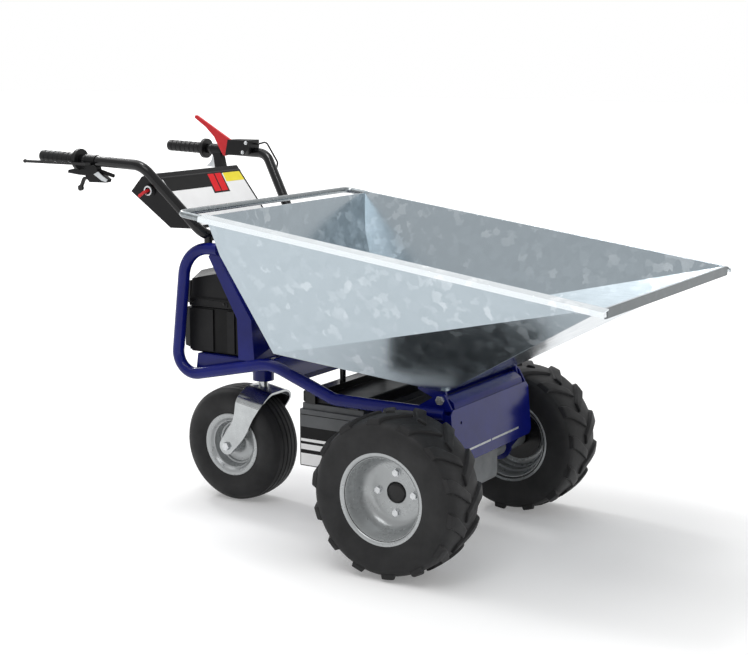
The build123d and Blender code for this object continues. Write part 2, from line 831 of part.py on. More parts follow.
with BuildPart() as tyre_left:
    for turn in range(lug_count):
        for hand, start in ((1, 0), (-1, lug_step / 2)):
            with BuildSketch(lug_plane(turn * lug_step + start).offset(lug_foot)):
                with BuildLine():
                    Polyline(*[(along, hand * side) for along, side in lug_outline], close=True)
                make_face()
            extrude(amount=tyre_radius - lug_foot + lug_height)
    add(lug_tips, mode=Mode.INTERSECT)
    add(carcass)
    with BuildSketch(across_axle(0, wheel_y - half_width, axle_z)):
        RegularPolygon(rim_seat_radius, tyre_flats, major_radius=False)
    extrude(amount=tyre_width, mode=Mode.SUBTRACT)

# Front rim, left: flanges, well and centre disc in one pressed form
well_half = rim_width / 5
with BuildPart() as rim_left:
    with BuildSketch(wheel_plane(0, wheel_y, axle_z)):
        with BuildLine():
            Polyline(
                (rim_width / 2, rim_flange_radius),
                (seat_half, rim_flange_radius),
                (seat_half, rim_seat_radius),
                (-seat_half, rim_seat_radius),
                (-seat_half, rim_flange_radius),
                (-rim_width / 2, rim_flange_radius),
                (-rim_width / 2, rim_seat_radius - rim_sheet),
                (-well_half, rim_well_radius),
                (-rim_sheet, rim_well_radius),
                (-rim_sheet, hub_cap_radius),
                (0, hub_cap_radius),
                (0, rim_well_radius - rim_sheet),
                (well_half, rim_well_radius),
                (rim_width / 2, rim_seat_radius - rim_sheet),
                close=True,
            )
        make_face()
    revolve(axis=front_axle)

# Front hub, left: flange behind the disc, shaft into the axle housing, cap in the disc's hole
with BuildPart() as hub_left:
    with BuildSketch(wheel_plane(0, wheel_y, axle_z)):
        with BuildLine():
            Polyline(
                (hub_cap_length, 0),
                (hub_cap_length, hub_cap_radius - 3),
                (hub_cap_length - 3, hub_cap_radius),
                (-rim_sheet, hub_cap_radius),
                (-rim_sheet, hub_flange_radius),
                (-rim_sheet - hub_flange_thickness, hub_flange_radius),
                (-rim_sheet - hub_flange_thickness, shaft_radius),
                (-rim_sheet - hub_flange_thickness - shaft_length, shaft_radius),
                (-rim_sheet - hub_flange_thickness - shaft_length, 0),
                close=True,
            )
        make_face()
    revolve(axis=front_axle)

# Castor tyre and rim
castor_ahead = -castor_behind_axle
castor_axle = Axis(at(castor_ahead, 0, castor_radius), (0, 1, 0))
castor_half = castor_width / 2
castor_seat_half = castor_rim_width / 2 - rim_sheet
castor_wall = [
    (castor_seat_half, castor_flange_radius),
    (castor_half, (castor_flange_radius + castor_radius) / 2),
    (castor_half - 6, castor_radius - 14),
    (castor_half - 22, castor_radius),
]
castor_carcass = ring_stack(castor_ahead, 0, castor_radius, both_walls(castor_wall), castor_flats)
with BuildPart() as castor_tyre:
    add(castor_carcass)
    with BuildSketch(across_axle(castor_ahead, -castor_half, castor_radius)):
        RegularPolygon(castor_seat_radius, castor_flats, major_radius=False)
    extrude(amount=castor_width, mode=Mode.SUBTRACT)
fork_inner_half = castor_half + castor_side_gap
castor_hub_half = fork_inner_half - 3
castor_well_half = castor_rim_width / 5
with BuildPart() as castor_rim:
    with BuildSketch(wheel_plane(castor_ahead, 0, castor_radius)):
        with BuildLine():
            outline = [
                (castor_hub_half, castor_axle_radius + running_clearance),
                (castor_hub_half, castor_hub_radius),
                (rim_sheet, castor_hub_radius),
                (rim_sheet, castor_well_radius - rim_sheet),
                (castor_well_half, castor_well_radius),
                (castor_rim_width / 2, castor_seat_radius - rim_sheet),
                (castor_rim_width / 2, castor_flange_radius),
                (castor_seat_half, castor_flange_radius),
                (castor_seat_half, castor_seat_radius),
            ]
            Polyline(*outline, *[(-x, r) for x, r in reversed(outline)], close=True)
        make_face()
    revolve(axis=castor_axle)

# Castor fork: a wide strip arched over the tyre, its legs swept back to the axle, with the swivel stem
fork_outer_half = fork_inner_half + fork_sheet
stem_top = mount_bottom + mount_web
crown_lean = radians(fork_crown_slope)
fork_reach = 280.0
fork_headroom = 40.0
fork_rear_edge = [(47, 165), (31, 120), (24, 83), (1, 44), (-fork_end_radius, 4)]
fork_front_edge = [(12, -20), (40, 8), (67, 42), (90, 85), (117, 125), (127, 148)]
arch_plane = Plane(
    origin=at(swivel_ahead, 0, crown_top),
    x_dir=(0, 1, 0),
    z_dir=(cos(crown_lean), 0, -sin(crown_lean)),
)


def from_castor(*offsets):
    """Side view points from their offsets forward and up from the castor's axle."""
    return [(castor_ahead + forward, castor_radius + up) for forward, up in offsets]


rear_edge = from_castor(*fork_rear_edge)
front_edge = from_castor(*fork_front_edge)
with BuildPart() as castor_fork:
    with BuildSketch(arch_plane):
        with BuildLine():
            FilletPolyline(
                (-fork_outer_half, -fork_reach),
                (-fork_outer_half, 0),
                (fork_outer_half, 0),
                (fork_outer_half, -fork_reach),
                radius=fork_crown_radius,
            )
            Line((fork_outer_half, -fork_reach), (fork_inner_half, -fork_reach))
            FilletPolyline(
                (fork_inner_half, -fork_reach),
                (fork_inner_half, -fork_sheet),
                (-fork_inner_half, -fork_sheet),
                (-fork_inner_half, -fork_reach),
                radius=fork_crown_radius - fork_sheet,
            )
            Line((-fork_inner_half, -fork_reach), (-fork_outer_half, -fork_reach))
        make_face()
    extrude(amount=fork_reach, both=True)
    with BuildSketch(side_plane(fork_outer_half)):
        with BuildLine():
            Spline(*rear_edge)
            Line(rear_edge[-1], front_edge[0])
            Spline(*front_edge)
            Polyline(
                front_edge[-1],
                (front_edge[-1][0], crown_top + fork_headroom),
                (rear_edge[0][0], crown_top + fork_headroom),
                rear_edge[0],
            )
        make_face()
        with Locations((castor_ahead, castor_radius)):
            Circle(fork_end_radius)
    extrude(amount=2 * fork_outer_half, mode=Mode.INTERSECT)
    with BuildSketch(level_plane(crown_top - fork_sheet / 2)):
        with Locations((swivel_ahead, 0)):
            Circle(stem_radius)
    extrude(amount=stem_top - crown_top + fork_sheet / 2)
    with BuildSketch(side_plane(fork_outer_half)):
        with Locations((castor_ahead, castor_radius)):
            Circle(castor_axle_radius)
    extrude(amount=2 * fork_outer_half, mode=Mode.SUBTRACT)

# Castor axle bolt through fork and wheel, heads outside the legs
with BuildPart() as castor_bolt:
    with BuildSketch(side_plane(fork_outer_half)):
        with Locations((castor_ahead, castor_radius)):
            Circle(castor_axle_radius)
    extrude(amount=2 * fork_outer_half)
    for face_y, length in ((fork_outer_half, -bolt_head_length), (-fork_outer_half, bolt_head_length)):
        with BuildSketch(side_plane(face_y)):
            with Locations((castor_ahead, castor_radius)):
                RegularPolygon(bolt_head_radius, 6)
        extrude(amount=length)

# Handlebar: one bent tube, grip to grip, its low middle on the frame's arches
with BuildPart() as handlebar:
    with BuildLine() as handle_path:
        half = [
            (grip_end_ahead, grip_half_spread, grip_height),
            (bar_bend_ahead, bar_bend_half_spread, bar_bend_height),
            (bar_foot_ahead, bar_foot_half_spread, bar_foot_height),
        ]
        FilletPolyline(
            *[at(x, y, z) for x, y, z in half],
            *[at(x, -y, z) for x, y, z in reversed(half)],
            radius=[bar_bend_radius, bar_foot_radius, bar_foot_radius, bar_bend_radius],
        )
    with BuildSketch(section_plane(handle_path.line)):
        Circle(bar_radius)
    sweep()

# Posts that clamp the handlebar's foot to the arches
with BuildPart() as handlebar_posts:
    with BuildSketch(level_plane(tube_arch_height)):
        with Locations((bar_foot_ahead, tube_y - tube_radius / 2)):
            Circle(post_radius)
    extrude(amount=bar_foot_height - tube_arch_height)
    add(frame_tube_left.part, mode=Mode.SUBTRACT)
    add(handlebar.part, mode=Mode.SUBTRACT)
    mirror(about=Plane.XZ)

# Console: a wedge box on the right leg, its face in the plane of the legs
leg_foot = at(bar_foot_ahead, 0, bar_foot_height)
leg_head = at(bar_bend_ahead, 0, bar_bend_height)
leg_length = (leg_head - leg_foot).length
leg_up = (leg_head - leg_foot).normalized()
leg_plane = Plane(origin=leg_foot, x_dir=(0, 1, 0), z_dir=Vector(0, 1, 0).cross(leg_up))


def leg_spread(up):
    """Distance of a handlebar leg from the middle plane, by its distance up the leg."""
    return bar_foot_half_spread + (bar_bend_half_spread - bar_foot_half_spread) * up / leg_length


def up_leg(up, forward):
    """Side view point, by its distance up the legs and forward of their plane."""
    point = leg_foot + leg_up * up + leg_plane.z_dir * forward
    return (point.X - axle_x, point.Z)


leg_run = leg_up * leg_length - Vector(0, bar_bend_half_spread - bar_foot_half_spread, 0)
console_side = Plane(
    origin=leg_foot - Vector(0, bar_foot_half_spread, 0),
    x_dir=leg_run.normalized(),
    z_dir=leg_plane.z_dir.cross(leg_run),
)
with BuildPart() as console:
    with BuildSketch(side_plane(console_left)):
        with BuildLine():
            Polyline(
                up_leg(console_low, 0),
                up_leg(console_high, 0),
                up_leg(console_crown_up, -console_crown_back),
                up_leg(console_shoulder_up, -console_shoulder_back),
                up_leg(console_heel_up, -console_heel_back),
                close=True,
            )
        make_face()
    extrude(amount=console_left + bar_bend_half_spread)
    split(bisect_by=console_side, keep=Keep.BOTTOM)
    add(handlebar.part, mode=Mode.SUBTRACT)

# Face panel on the console
with BuildPart() as console_panel:
    with BuildSketch(leg_plane):
        with BuildLine():
            Polyline(
                (console_left - panel_border, panel_low),
                (console_left - panel_border, panel_high),
                (panel_side_gap - leg_spread(panel_high), panel_high),
                (panel_side_gap - leg_spread(panel_low), panel_low),
                close=True,
            )
        make_face()
    extrude(amount=panel_sheet)

# Key switch on the console's right side, with a bent key in it
with BuildPart() as key_switch:
    with BuildSketch(console_side):
        with Locations((key_up, key_back)):
            Circle(key_base_radius)
    extrude(amount=key_base_length)
key_foot = console_side.from_local_coords((key_up, key_back, key_base_length))
key_elbow = console_side.from_local_coords((key_up, key_back, key_base_length + key_stand))
key_tip = console_side.from_local_coords((key_up - key_droop, key_back + key_reach, key_base_length + key_stand))
with BuildPart() as key:
    with BuildLine() as key_path:
        FilletPolyline(key_foot, key_elbow, key_tip, radius=2 * key_radius)
    with BuildSketch(section_plane(key_path.line)):
        Circle(key_radius)
    sweep()

# Grips with their collars
grip_start = at(grip_end_ahead, grip_half_spread, grip_height)
bar_bend = at(bar_bend_ahead, bar_bend_half_spread, bar_bend_height)
grip_line = (bar_bend - grip_start).normalized()
grip_cap = 4.0
grip_plane = Plane(origin=grip_start - grip_line * grip_cap, z_dir=grip_line)
with BuildPart() as grips:
    with BuildSketch(grip_plane):
        Circle(grip_radius)
    extrude(amount=grip_length)
    with BuildSketch(grip_plane.offset(grip_length)):
        Circle(grip_collar_radius)
    extrude(amount=grip_collar_length)
    add(handlebar.part, mode=Mode.SUBTRACT)
    mirror(about=Plane.XZ)


def on_bar(ahead):
    """Plane across the left hand's bar at a distance ahead of the axle."""
    run = (axle_x + ahead - grip_start.X) / grip_line.X
    return Plane(origin=grip_start + grip_line * run, z_dir=grip_line)


def under_bar(ahead, *offsets):
    """Side view points from their offsets forward and up from a place on the bar."""
    return [(ahead + forward, on_bar(ahead).origin.Z + up) for forward, up in offsets]


# Brake bracket under the right hand's bar: clamp ring, body and cable adjuster in one casting
clamp_length = clamp_front_ahead - clamp_rear_ahead
adjuster_foot, adjuster_tip = under_bar(clamp_front_ahead, (-13, -21), (56, -38))
adjuster_plane = Plane(
    origin=at(adjuster_foot[0], -grip_half_spread, adjuster_foot[1]),
    z_dir=at(adjuster_tip[0], 0, adjuster_tip[1]) - at(adjuster_foot[0], 0, adjuster_foot[1]),
)
with BuildPart() as brake_bracket:
    with BuildSketch(side_plane(bracket_sheet / 2 - grip_half_spread)):
        with BuildLine():
            Polyline(
                *under_bar(clamp_rear_ahead, (-64, -36), (-62, -28), (-42, -24), (-4, -24), (0, -10)),
                *under_bar(clamp_front_ahead, (0, -9), (4, -25), (38, -48), (34, -56), (-24, -57)),
                *under_bar(clamp_rear_ahead, (-2, -41), (-24, -40)),
                close=True,
            )
        make_face()
    extrude(amount=bracket_sheet)
    with BuildSketch(mirror_plane(on_bar(clamp_rear_ahead))):
        Circle(clamp_radius)
    extrude(amount=clamp_length)
    with BuildSketch(adjuster_plane):
        Circle(adjuster_radius)
    extrude(amount=adjuster_tip[0] - adjuster_foot[0])
    add(handlebar.part, mode=Mode.SUBTRACT)
    add(grips.part, mode=Mode.SUBTRACT)

# Long brake lever outside the right grip
lever_inner = -grip_half_spread - lever_stand_out + lever_width
lever_outer = lever_inner - lever_width
lever_root = -grip_half_spread - bar_radius - 1
lever_end = lever_width / 2
with BuildPart() as brake_lever:
    with BuildSketch(level_plane(on_bar(clamp_rear_ahead).origin.Z - lever_drop)):
        with BuildLine():
            Polyline(
                (clamp_front_ahead, lever_root),
                (clamp_front_ahead, lever_inner),
                (clamp_front_ahead - lever_end, lever_outer),
                (lever_end - handle_reach, lever_outer),
                (-handle_reach, lever_outer + lever_end),
                (lever_end - handle_reach, lever_inner),
                (clamp_rear_ahead - lever_end, lever_inner),
                (clamp_rear_ahead, lever_root),
                close=True,
            )
        make_face()
    extrude(amount=lever_sheet)
    add(brake_bracket.part, mode=Mode.SUBTRACT)
    add(handlebar.part, mode=Mode.SUBTRACT)

# Small finger lever behind the brake bracket: a flat hook with a round end
finger_hook = under_bar(clamp_rear_ahead, (8, -48), (-14, -49), (-28, -76))
finger_face = side_plane(finger_radius - grip_half_spread)
with BuildPart() as finger_lever:
    with BuildSketch(finger_face):
        with BuildLine():
            FilletPolyline(*finger_hook, radius=finger_ball)
        trace(line_width=2 * finger_radius)
        with Locations(finger_hook[-1]):
            Circle(finger_ball)
    extrude(amount=2 * finger_radius)
    add(brake_bracket.part, mode=Mode.SUBTRACT)

# Lever bracket under the left hand's bar
with BuildPart() as lever_bracket:
    with BuildSketch(side_plane(grip_half_spread + bracket_sheet / 2)):
        with BuildLine():
            Polyline(
                *under_bar(clamp_rear_ahead, (2, -10)),
                *under_bar(clamp_front_ahead, (0, -9), (11, -55)),
                *under_bar(clamp_rear_ahead, (16, -60), (10, -22)),
                close=True,
            )
        make_face()
    extrude(amount=bracket_sheet)
    with BuildSketch(on_bar(clamp_rear_ahead)):
        Circle(clamp_radius)
    extrude(amount=clamp_length)
    add(handlebar.part, mode=Mode.SUBTRACT)

# Bright plates on both brackets
right_plate = under_bar(clamp_front_ahead, (-6, -35), (10, -27), (24, -37), (42, -47), (36, -54), (22, -51))
left_fin = under_bar(clamp_rear_ahead, (12, -20), (0, -20), (-6, -37), (-24, -52), (23, -55))
with BuildPart() as lever_plates:
    with BuildSketch(side_plane(-grip_half_spread - bracket_sheet / 2)):
        with BuildLine():
            Polyline(*right_plate, close=True)
        make_face()
    extrude(amount=plate_sheet)
    with BuildSketch(side_plane(grip_half_spread + plate_sheet / 2)):
        with BuildLine():
            Polyline(*left_fin, close=True)
        make_face()
    extrude(amount=plate_sheet)
    add(lever_bracket.part, mode=Mode.SUBTRACT)

# Throttle on the left hand's bar: lever in a slot of its clamp block, and cable
lever_blade = [(-118, 95), (-117, 102), (-111, 103), (4, 39), (28, 27), (18, -7)]
lever_blade += [(-7, -14), (-15, -12), (-25, 3), (-47, 41), (-78, 69)]
with BuildPart() as throttle_lever:
    with BuildSketch(side_plane(grip_half_spread - throttle_lever_side)):
        with BuildLine():
            Polyline(*under_bar(throttle_rear_ahead, *lever_blade), close=True)
        make_face()
    extrude(amount=throttle_lever_sheet)
with BuildPart() as throttle_block:
    with BuildSketch(side_plane(grip_half_spread + throttle_outer_half)):
        with BuildLine():
            Polyline(
                *under_bar(throttle_rear_ahead, (-3, -11), (66, -9)),
                *under_bar(throttle_front_ahead, (0, 14), (0, throttle_rise + 3)),
                *under_bar(throttle_rear_ahead, (7, throttle_rise)),
                close=True,
            )
        make_face()
    extrude(amount=throttle_outer_half + throttle_inner_half)
    add(handlebar.part, mode=Mode.SUBTRACT)
    add(throttle_lever.part, mode=Mode.SUBTRACT)


def by_leg(up, y, forward):
    """Point by its distance up the legs, its side and its distance forward of their plane."""
    return leg_foot + leg_up * up + Vector(0, y, 0) + leg_plane.z_dir * forward


cable_seat = bar_radius + cable_radius + cable_gap
cable_height = on_bar(throttle_front_ahead).origin.Z + cable_rise
cable_low = 45.0
cable_turn = 12.0
cable_high = 195.0
cable_low_run = cable_low + cable_seat
cable_out = 0.87 * cable_seat
cable_back = 0.5 * cable_seat
with BuildPart() as throttle_cable:
    with BuildLine() as cable_path:
        FilletPolyline(
            at(throttle_front_ahead, grip_half_spread, cable_height),
            at(throttle_front_ahead + 13, grip_half_spread, cable_height),
            at(throttle_front_ahead + 40, grip_half_spread, cable_height + 7),
            by_leg(cable_high, leg_spread(cable_high) + cable_out, cable_back),
            by_leg(cable_high - cable_seat, leg_spread(cable_high - cable_seat) + cable_out, -cable_back),
            by_leg(cable_low_run, leg_spread(cable_low_run) + cable_out, -cable_back),
            by_leg(cable_low, leg_spread(cable_low), -cable_seat),
            by_leg(cable_low, console_left + 40, -cable_turn),
            by_leg(cable_low, console_left, -cable_turn),
            radius=cable_turn,
        )
    with BuildSketch(section_plane(cable_path.line)):
        Circle(cable_radius)
    sweep()

pieces = {
    "frame_tube_left": frame_tube_left.part,
    "frame_tube_right": frame_tubes[1],
    "bulkhead": bulkhead.part,
    "castor_mount": castor_mount.part,
    "rear_floor": rear_floor.part,
    "front_cross_member": front_cross_member.part,
    "front_cover": front_cover.part,
    "pivot_gussets": pivot_gussets.part,
    "pivot_bolts": pivot_bolts.part,
    "hopper_floor": hopper_floor.part,
    "hopper_side_left": hopper_side_left.part,
    "hopper_side_right": mirrored(hopper_side_left.part),
    "hopper_rim_left": hopper_rim_left.part,
    "hopper_rim_right": mirrored(hopper_rim_left.part),
    "hopper_lip": hopper_lip.part,
    "hopper_rear_bar": hopper_rear_bar.part,
    "hopper_ears": hopper_ears.part,
    "stop_bar": stop_bar.part,
    "hopper_stops": hopper_stops.part,
    "battery_case": battery_case.part,
    "battery_lid": battery_lid.part,
    "battery_hangers": battery_hangers.part,
    "rear_case": rear_case.part,
    "rear_case_lid": rear_case_lid.part,
    "gearbox": gearbox.part,
    "drive_motor": drive_motor.part,
    "axle_brackets": axle_brackets.part,
    "tyre_left": tyre_left.part,
    "tyre_right": mirrored(tyre_left.part),
    "rim_left": rim_left.part,
    "rim_right": mirrored(rim_left.part),
    "hub_left": hub_left.part,
    "hub_right": mirrored(hub_left.part),
    "castor_tyre": castor_tyre.part,
    "castor_rim": castor_rim.part,
    "castor_fork": castor_fork.part,
    "castor_bolt": castor_bolt.part,
    "handlebar": handlebar.part,
    "handlebar_posts": handlebar_posts.part,
    "console": console.part,
    "console_panel": console_panel.part,
    "key_switch": key_switch.part,
    "key": key.part,
    "grips": grips.part,
    "brake_bracket": brake_bracket.part,
    "brake_lever": brake_lever.part,
    "finger_lever": finger_lever.part,
    "lever_bracket": lever_bracket.part,
    "lever_plates": lever_plates.part,
    "throttle_block": throttle_block.part,
    "throttle_lever": throttle_lever.part,
    "throttle_cable": throttle_cable.part,
}
os.makedirs("parts", exist_ok=True)
for node, piece in pieces.items():
    piece.label = node
    export_step(piece, f"parts/{node}.step")
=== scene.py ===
# %% [markdown]
# # A walk-behind site dumper
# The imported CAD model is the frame: every solid of the machine, at its real size and in its real place.
# This lesson dresses it. Sheet and tube keep their CAD shape and get softened edges and a finish, and the
# pieces whose charm is in small form, such as the lugged tyres, are modelled again in mesh code.

# %% Load the frame
import json
from math import cos, pi, radians, sin

import bmesh
import bpy
from mathutils import Matrix, Vector


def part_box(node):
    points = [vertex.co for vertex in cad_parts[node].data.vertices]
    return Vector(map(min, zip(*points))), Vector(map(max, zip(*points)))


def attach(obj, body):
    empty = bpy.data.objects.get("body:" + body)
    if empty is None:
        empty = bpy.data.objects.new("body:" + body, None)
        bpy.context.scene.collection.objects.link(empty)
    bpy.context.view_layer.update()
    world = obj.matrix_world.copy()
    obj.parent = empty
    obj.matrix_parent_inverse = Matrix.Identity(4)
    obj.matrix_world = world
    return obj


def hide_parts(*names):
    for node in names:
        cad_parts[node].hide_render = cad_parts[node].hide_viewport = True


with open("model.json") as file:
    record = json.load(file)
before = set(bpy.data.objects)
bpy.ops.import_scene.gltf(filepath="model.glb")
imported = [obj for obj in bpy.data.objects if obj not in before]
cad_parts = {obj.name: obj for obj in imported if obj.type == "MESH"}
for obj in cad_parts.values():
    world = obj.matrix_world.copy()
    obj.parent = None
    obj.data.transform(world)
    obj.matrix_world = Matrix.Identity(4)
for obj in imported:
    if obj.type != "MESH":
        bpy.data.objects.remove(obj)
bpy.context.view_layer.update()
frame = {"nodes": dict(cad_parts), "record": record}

MM = 0.001

# %% [markdown]
# ## Where things are
# Two points place everything else: the front axle, read from the tyre's box, and the plane of the
# handlebar's sloping legs, which carries the console. Reading the axle from the frame, and not typing it,
# keeps the dressing on the machine if the CAD model is packed again.

# %% Places read from the frame
def middle(node):
    """Middle of a CAD node's box."""
    low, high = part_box(node)
    return (low + high) / 2


axle = middle("tyre_left")


def at(ahead, y, z):
    """Point in metres, from millimetres ahead of the front axle, left of the middle and above the ground."""
    return Vector((axle.x + ahead * MM, y * MM, z * MM))


HANDS = ((1, "left"), (-1, "right"))
leg_foot = at(-668, 0, 767)
leg_up = (at(-815, 0, 953) - leg_foot).normalized()
leg_face = Vector((0, 1, 0)).cross(leg_up)
print("front axle at", [round(v, 4) for v in axle])

# %% [markdown]
# ## Shaders
# Colours are written as the sRGB hex values a designer would pick, and one function turns them to the
# linear values that Blender's sockets take. One more function adds a node with its settings and links, so
# each finish below reads as a short list of nodes.

# %% Colour and node helpers
def linear(code):
    """sRGB hex colour as linear RGBA."""
    channels = [int(code[i:i + 2], 16) / 255 for i in (1, 3, 5)]
    return [c / 12.92 if c <= 0.04045 else ((c + 0.055) / 1.055) ** 2.4 for c in channels] + [1.0]


def add(tree, kind, sockets, **settings):
    """Adds a node: settings are its properties, and each socket gets a value or another node's output."""
    node = tree.nodes.new(kind)
    for name, value in settings.items():
        setattr(node, name, value)
    for socket, value in sockets.items():
        if isinstance(value, bpy.types.NodeSocket):
            tree.links.new(value, node.inputs[socket])
        else:
            node.inputs[socket].default_value = value
    return node


def new_finish(name, metallic, roughness):
    """A material with its own node tree; returns the material, its tree and its shader."""
    material = bpy.data.materials.new(name)
    material.use_nodes = True
    shader = material.node_tree.nodes["Principled BSDF"]
    shader.inputs["Metallic"].default_value = metallic
    shader.inputs["Roughness"].default_value = roughness
    return material, material.node_tree, shader


print("navy as linear", [round(c, 3) for c in linear("#0A1260")])

# %% [markdown]
# ## Paint, plastic and rubber
# Powder coat, moulded plastic and tyre rubber differ in gloss and grain, but they are all one colour that
# drifts a little from place to place over a fine surface relief. So one recipe serves them: a cloudy noise
# between a darker and a lighter shade, a second cloud on the roughness, and a fine grain as bump.

# %% The recipe for coated and moulded surfaces
def coated(name, dark, light, cloud_mm, roughness, grain_mm, grain_height_mm, metallic=0.0, sheen=0.5):
    """Colour that drifts between two shades over cloud_mm, with a relief of grain_mm."""
    material, tree, shader = new_finish(name, metallic, roughness)
    shader.inputs["Specular IOR Level"].default_value = sheen
    place = add(tree, "ShaderNodeTexCoord", {})
    cloud = add(tree, "ShaderNodeTexNoise", {
        "Vector": place.outputs["Object"], "Scale": 1 / (cloud_mm * MM), "Detail": 5.0, "Roughness": 0.6})
    spread = add(tree, "ShaderNodeMapRange", {
        "Value": cloud.outputs["Fac"], "From Min": 0.3, "From Max": 0.7})
    shade = add(tree, "ShaderNodeMix", {0: spread.outputs["Result"], 6: linear(dark), 7: linear(light)},
                data_type="RGBA")
    gloss = add(tree, "ShaderNodeMapRange", {
        "Value": cloud.outputs["Fac"], "From Min": 0.3, "From Max": 0.7,
        "To Min": 1.12 * roughness, "To Max": 0.88 * roughness})
    grain = add(tree, "ShaderNodeTexNoise", {
        "Vector": place.outputs["Object"], "Scale": 1 / (grain_mm * MM), "Detail": 2.0})
    relief = add(tree, "ShaderNodeBump", {
        "Height": grain.outputs["Fac"], "Strength": 0.5, "Distance": grain_height_mm * MM})
    tree.links.new(shade.outputs[2], shader.inputs["Base Color"])
    tree.links.new(gloss.outputs["Result"], shader.inputs["Roughness"])
    tree.links.new(relief.outputs["Normal"], shader.inputs["Normal"])
    return material


# Navy powder coat: glossy, with the faint orange peel of a coat that was melted on.
navy_coat = coated("navy_powder_coat", "#0A1260", "#111B74", 120, 0.18, 3.0, 0.02, sheen=0.24)
# Black powder coat on bar and levers: glossier and smoother, so tubes show a long bright line.
black_coat = coated("black_powder_coat", "#0A0A0C", "#111113", 80, 0.20, 2.5, 0.03, sheen=0.35)
# Black moulded plastic: an even fine grain that scatters the light.
black_plastic = coated("black_grained_plastic", "#0D0D0F", "#141416", 60, 0.42, 1.2, 0.08, sheen=0.22)
# Grey moulded plastic of the battery case.
grey_plastic = coated("grey_battery_plastic", "#545658", "#606264", 90, 0.45, 1.2, 0.06, sheen=0.3)
# Tyre rubber: dull, a little dusty, with a soft mould texture.
tyre_rubber = coated("tyre_rubber", "#1B1B1C", "#282829", 70, 0.58, 1.6, 0.10, sheen=0.3)
# Grip rubber: darker and smoother than the tyres.
grip_rubber = coated("grip_rubber", "#0E0E10", "#151517", 40, 0.45, 1.0, 0.08, sheen=0.3)
# Silver wheel paint on pressed steel: metal flake under lacquer, seen as a soft sheen.
silver_paint = coated("silver_wheel_paint", "#ABAEAF", "#B2B5B6", 60, 0.28, 0.8, 0.01, metallic=0.45)
# Bright zinc on bolts and screws.
zinc_plate = coated("bright_zinc_plate", "#C2C5C7", "#D6D8DA", 9, 0.20, 0.8, 0.02, metallic=0.75)
# Passivated zinc on the castor's fork: a thin mirror that shows what is round it.
fork_zinc = coated("passivated_zinc_fork", "#A6A9AA", "#B8BBBC", 40, 0.18, 1.5, 0.02, metallic=0.95)
# Sand-cast grey iron, painted: a coarse skin.
grey_casting = coated("grey_painted_casting", "#75787A", "#888B8D", 50, 0.50, 2.2, 0.20)
# Bare aluminium casting of the lever plates.
cast_alloy = coated("cast_aluminium", "#B9BDC0", "#CDD0D2", 12, 0.34, 0.9, 0.05, metallic=0.8)
# Red moulded plastic of throttle lever and key.
red_plastic = coated("red_moulded_plastic", "#C41A22", "#D4262E", 30, 0.32, 1.0, 0.03, sheen=0.35)
# Cable jacket: smooth black vinyl.
cable_vinyl = coated("black_cable_vinyl", "#101012", "#17171A", 20, 0.40, 0.8, 0.02, sheen=0.3)
# Printed film on the console and the battery: inks under a satin lacquer.
white_print = coated("white_printed_film", "#EFEFEF", "#F6F6F6", 60, 0.40, 0.8, 0.01, sheen=0.2)
black_print = coated("black_printed_film", "#0D0D0E", "#121213", 60, 0.40, 0.8, 0.01, sheen=0.15)
red_print = coated("red_printed_film", "#D8141C", "#E0232B", 40, 0.40, 0.8, 0.01, sheen=0.15)
yellow_print = coated("yellow_printed_film", "#EEDB38", "#F4E348", 30, 0.40, 0.8, 0.01, sheen=0.15)
print(len(bpy.data.materials), "finishes so far")

# %% [markdown]
# ## Galvanised sheet
# Hot-dip zinc freezes into crystals, the spangle, each of which mirrors the light its own way. A Voronoi
# texture gives such cells: its random cell colour sets brightness and roughness together. A noise that bends
# their edges, and cells that melt into each other, keep it from looking like tiles. The rolling mill leaves
# fine ripples along the sheet, which a noise stretched lengthwise gives as bump.

# %% The spangled zinc
RIPPLE_MM, RIPPLE_HEIGHT_MM = 7.0, 0.12
ROLLED_LONG = (0.12, 1.0, 1.0)


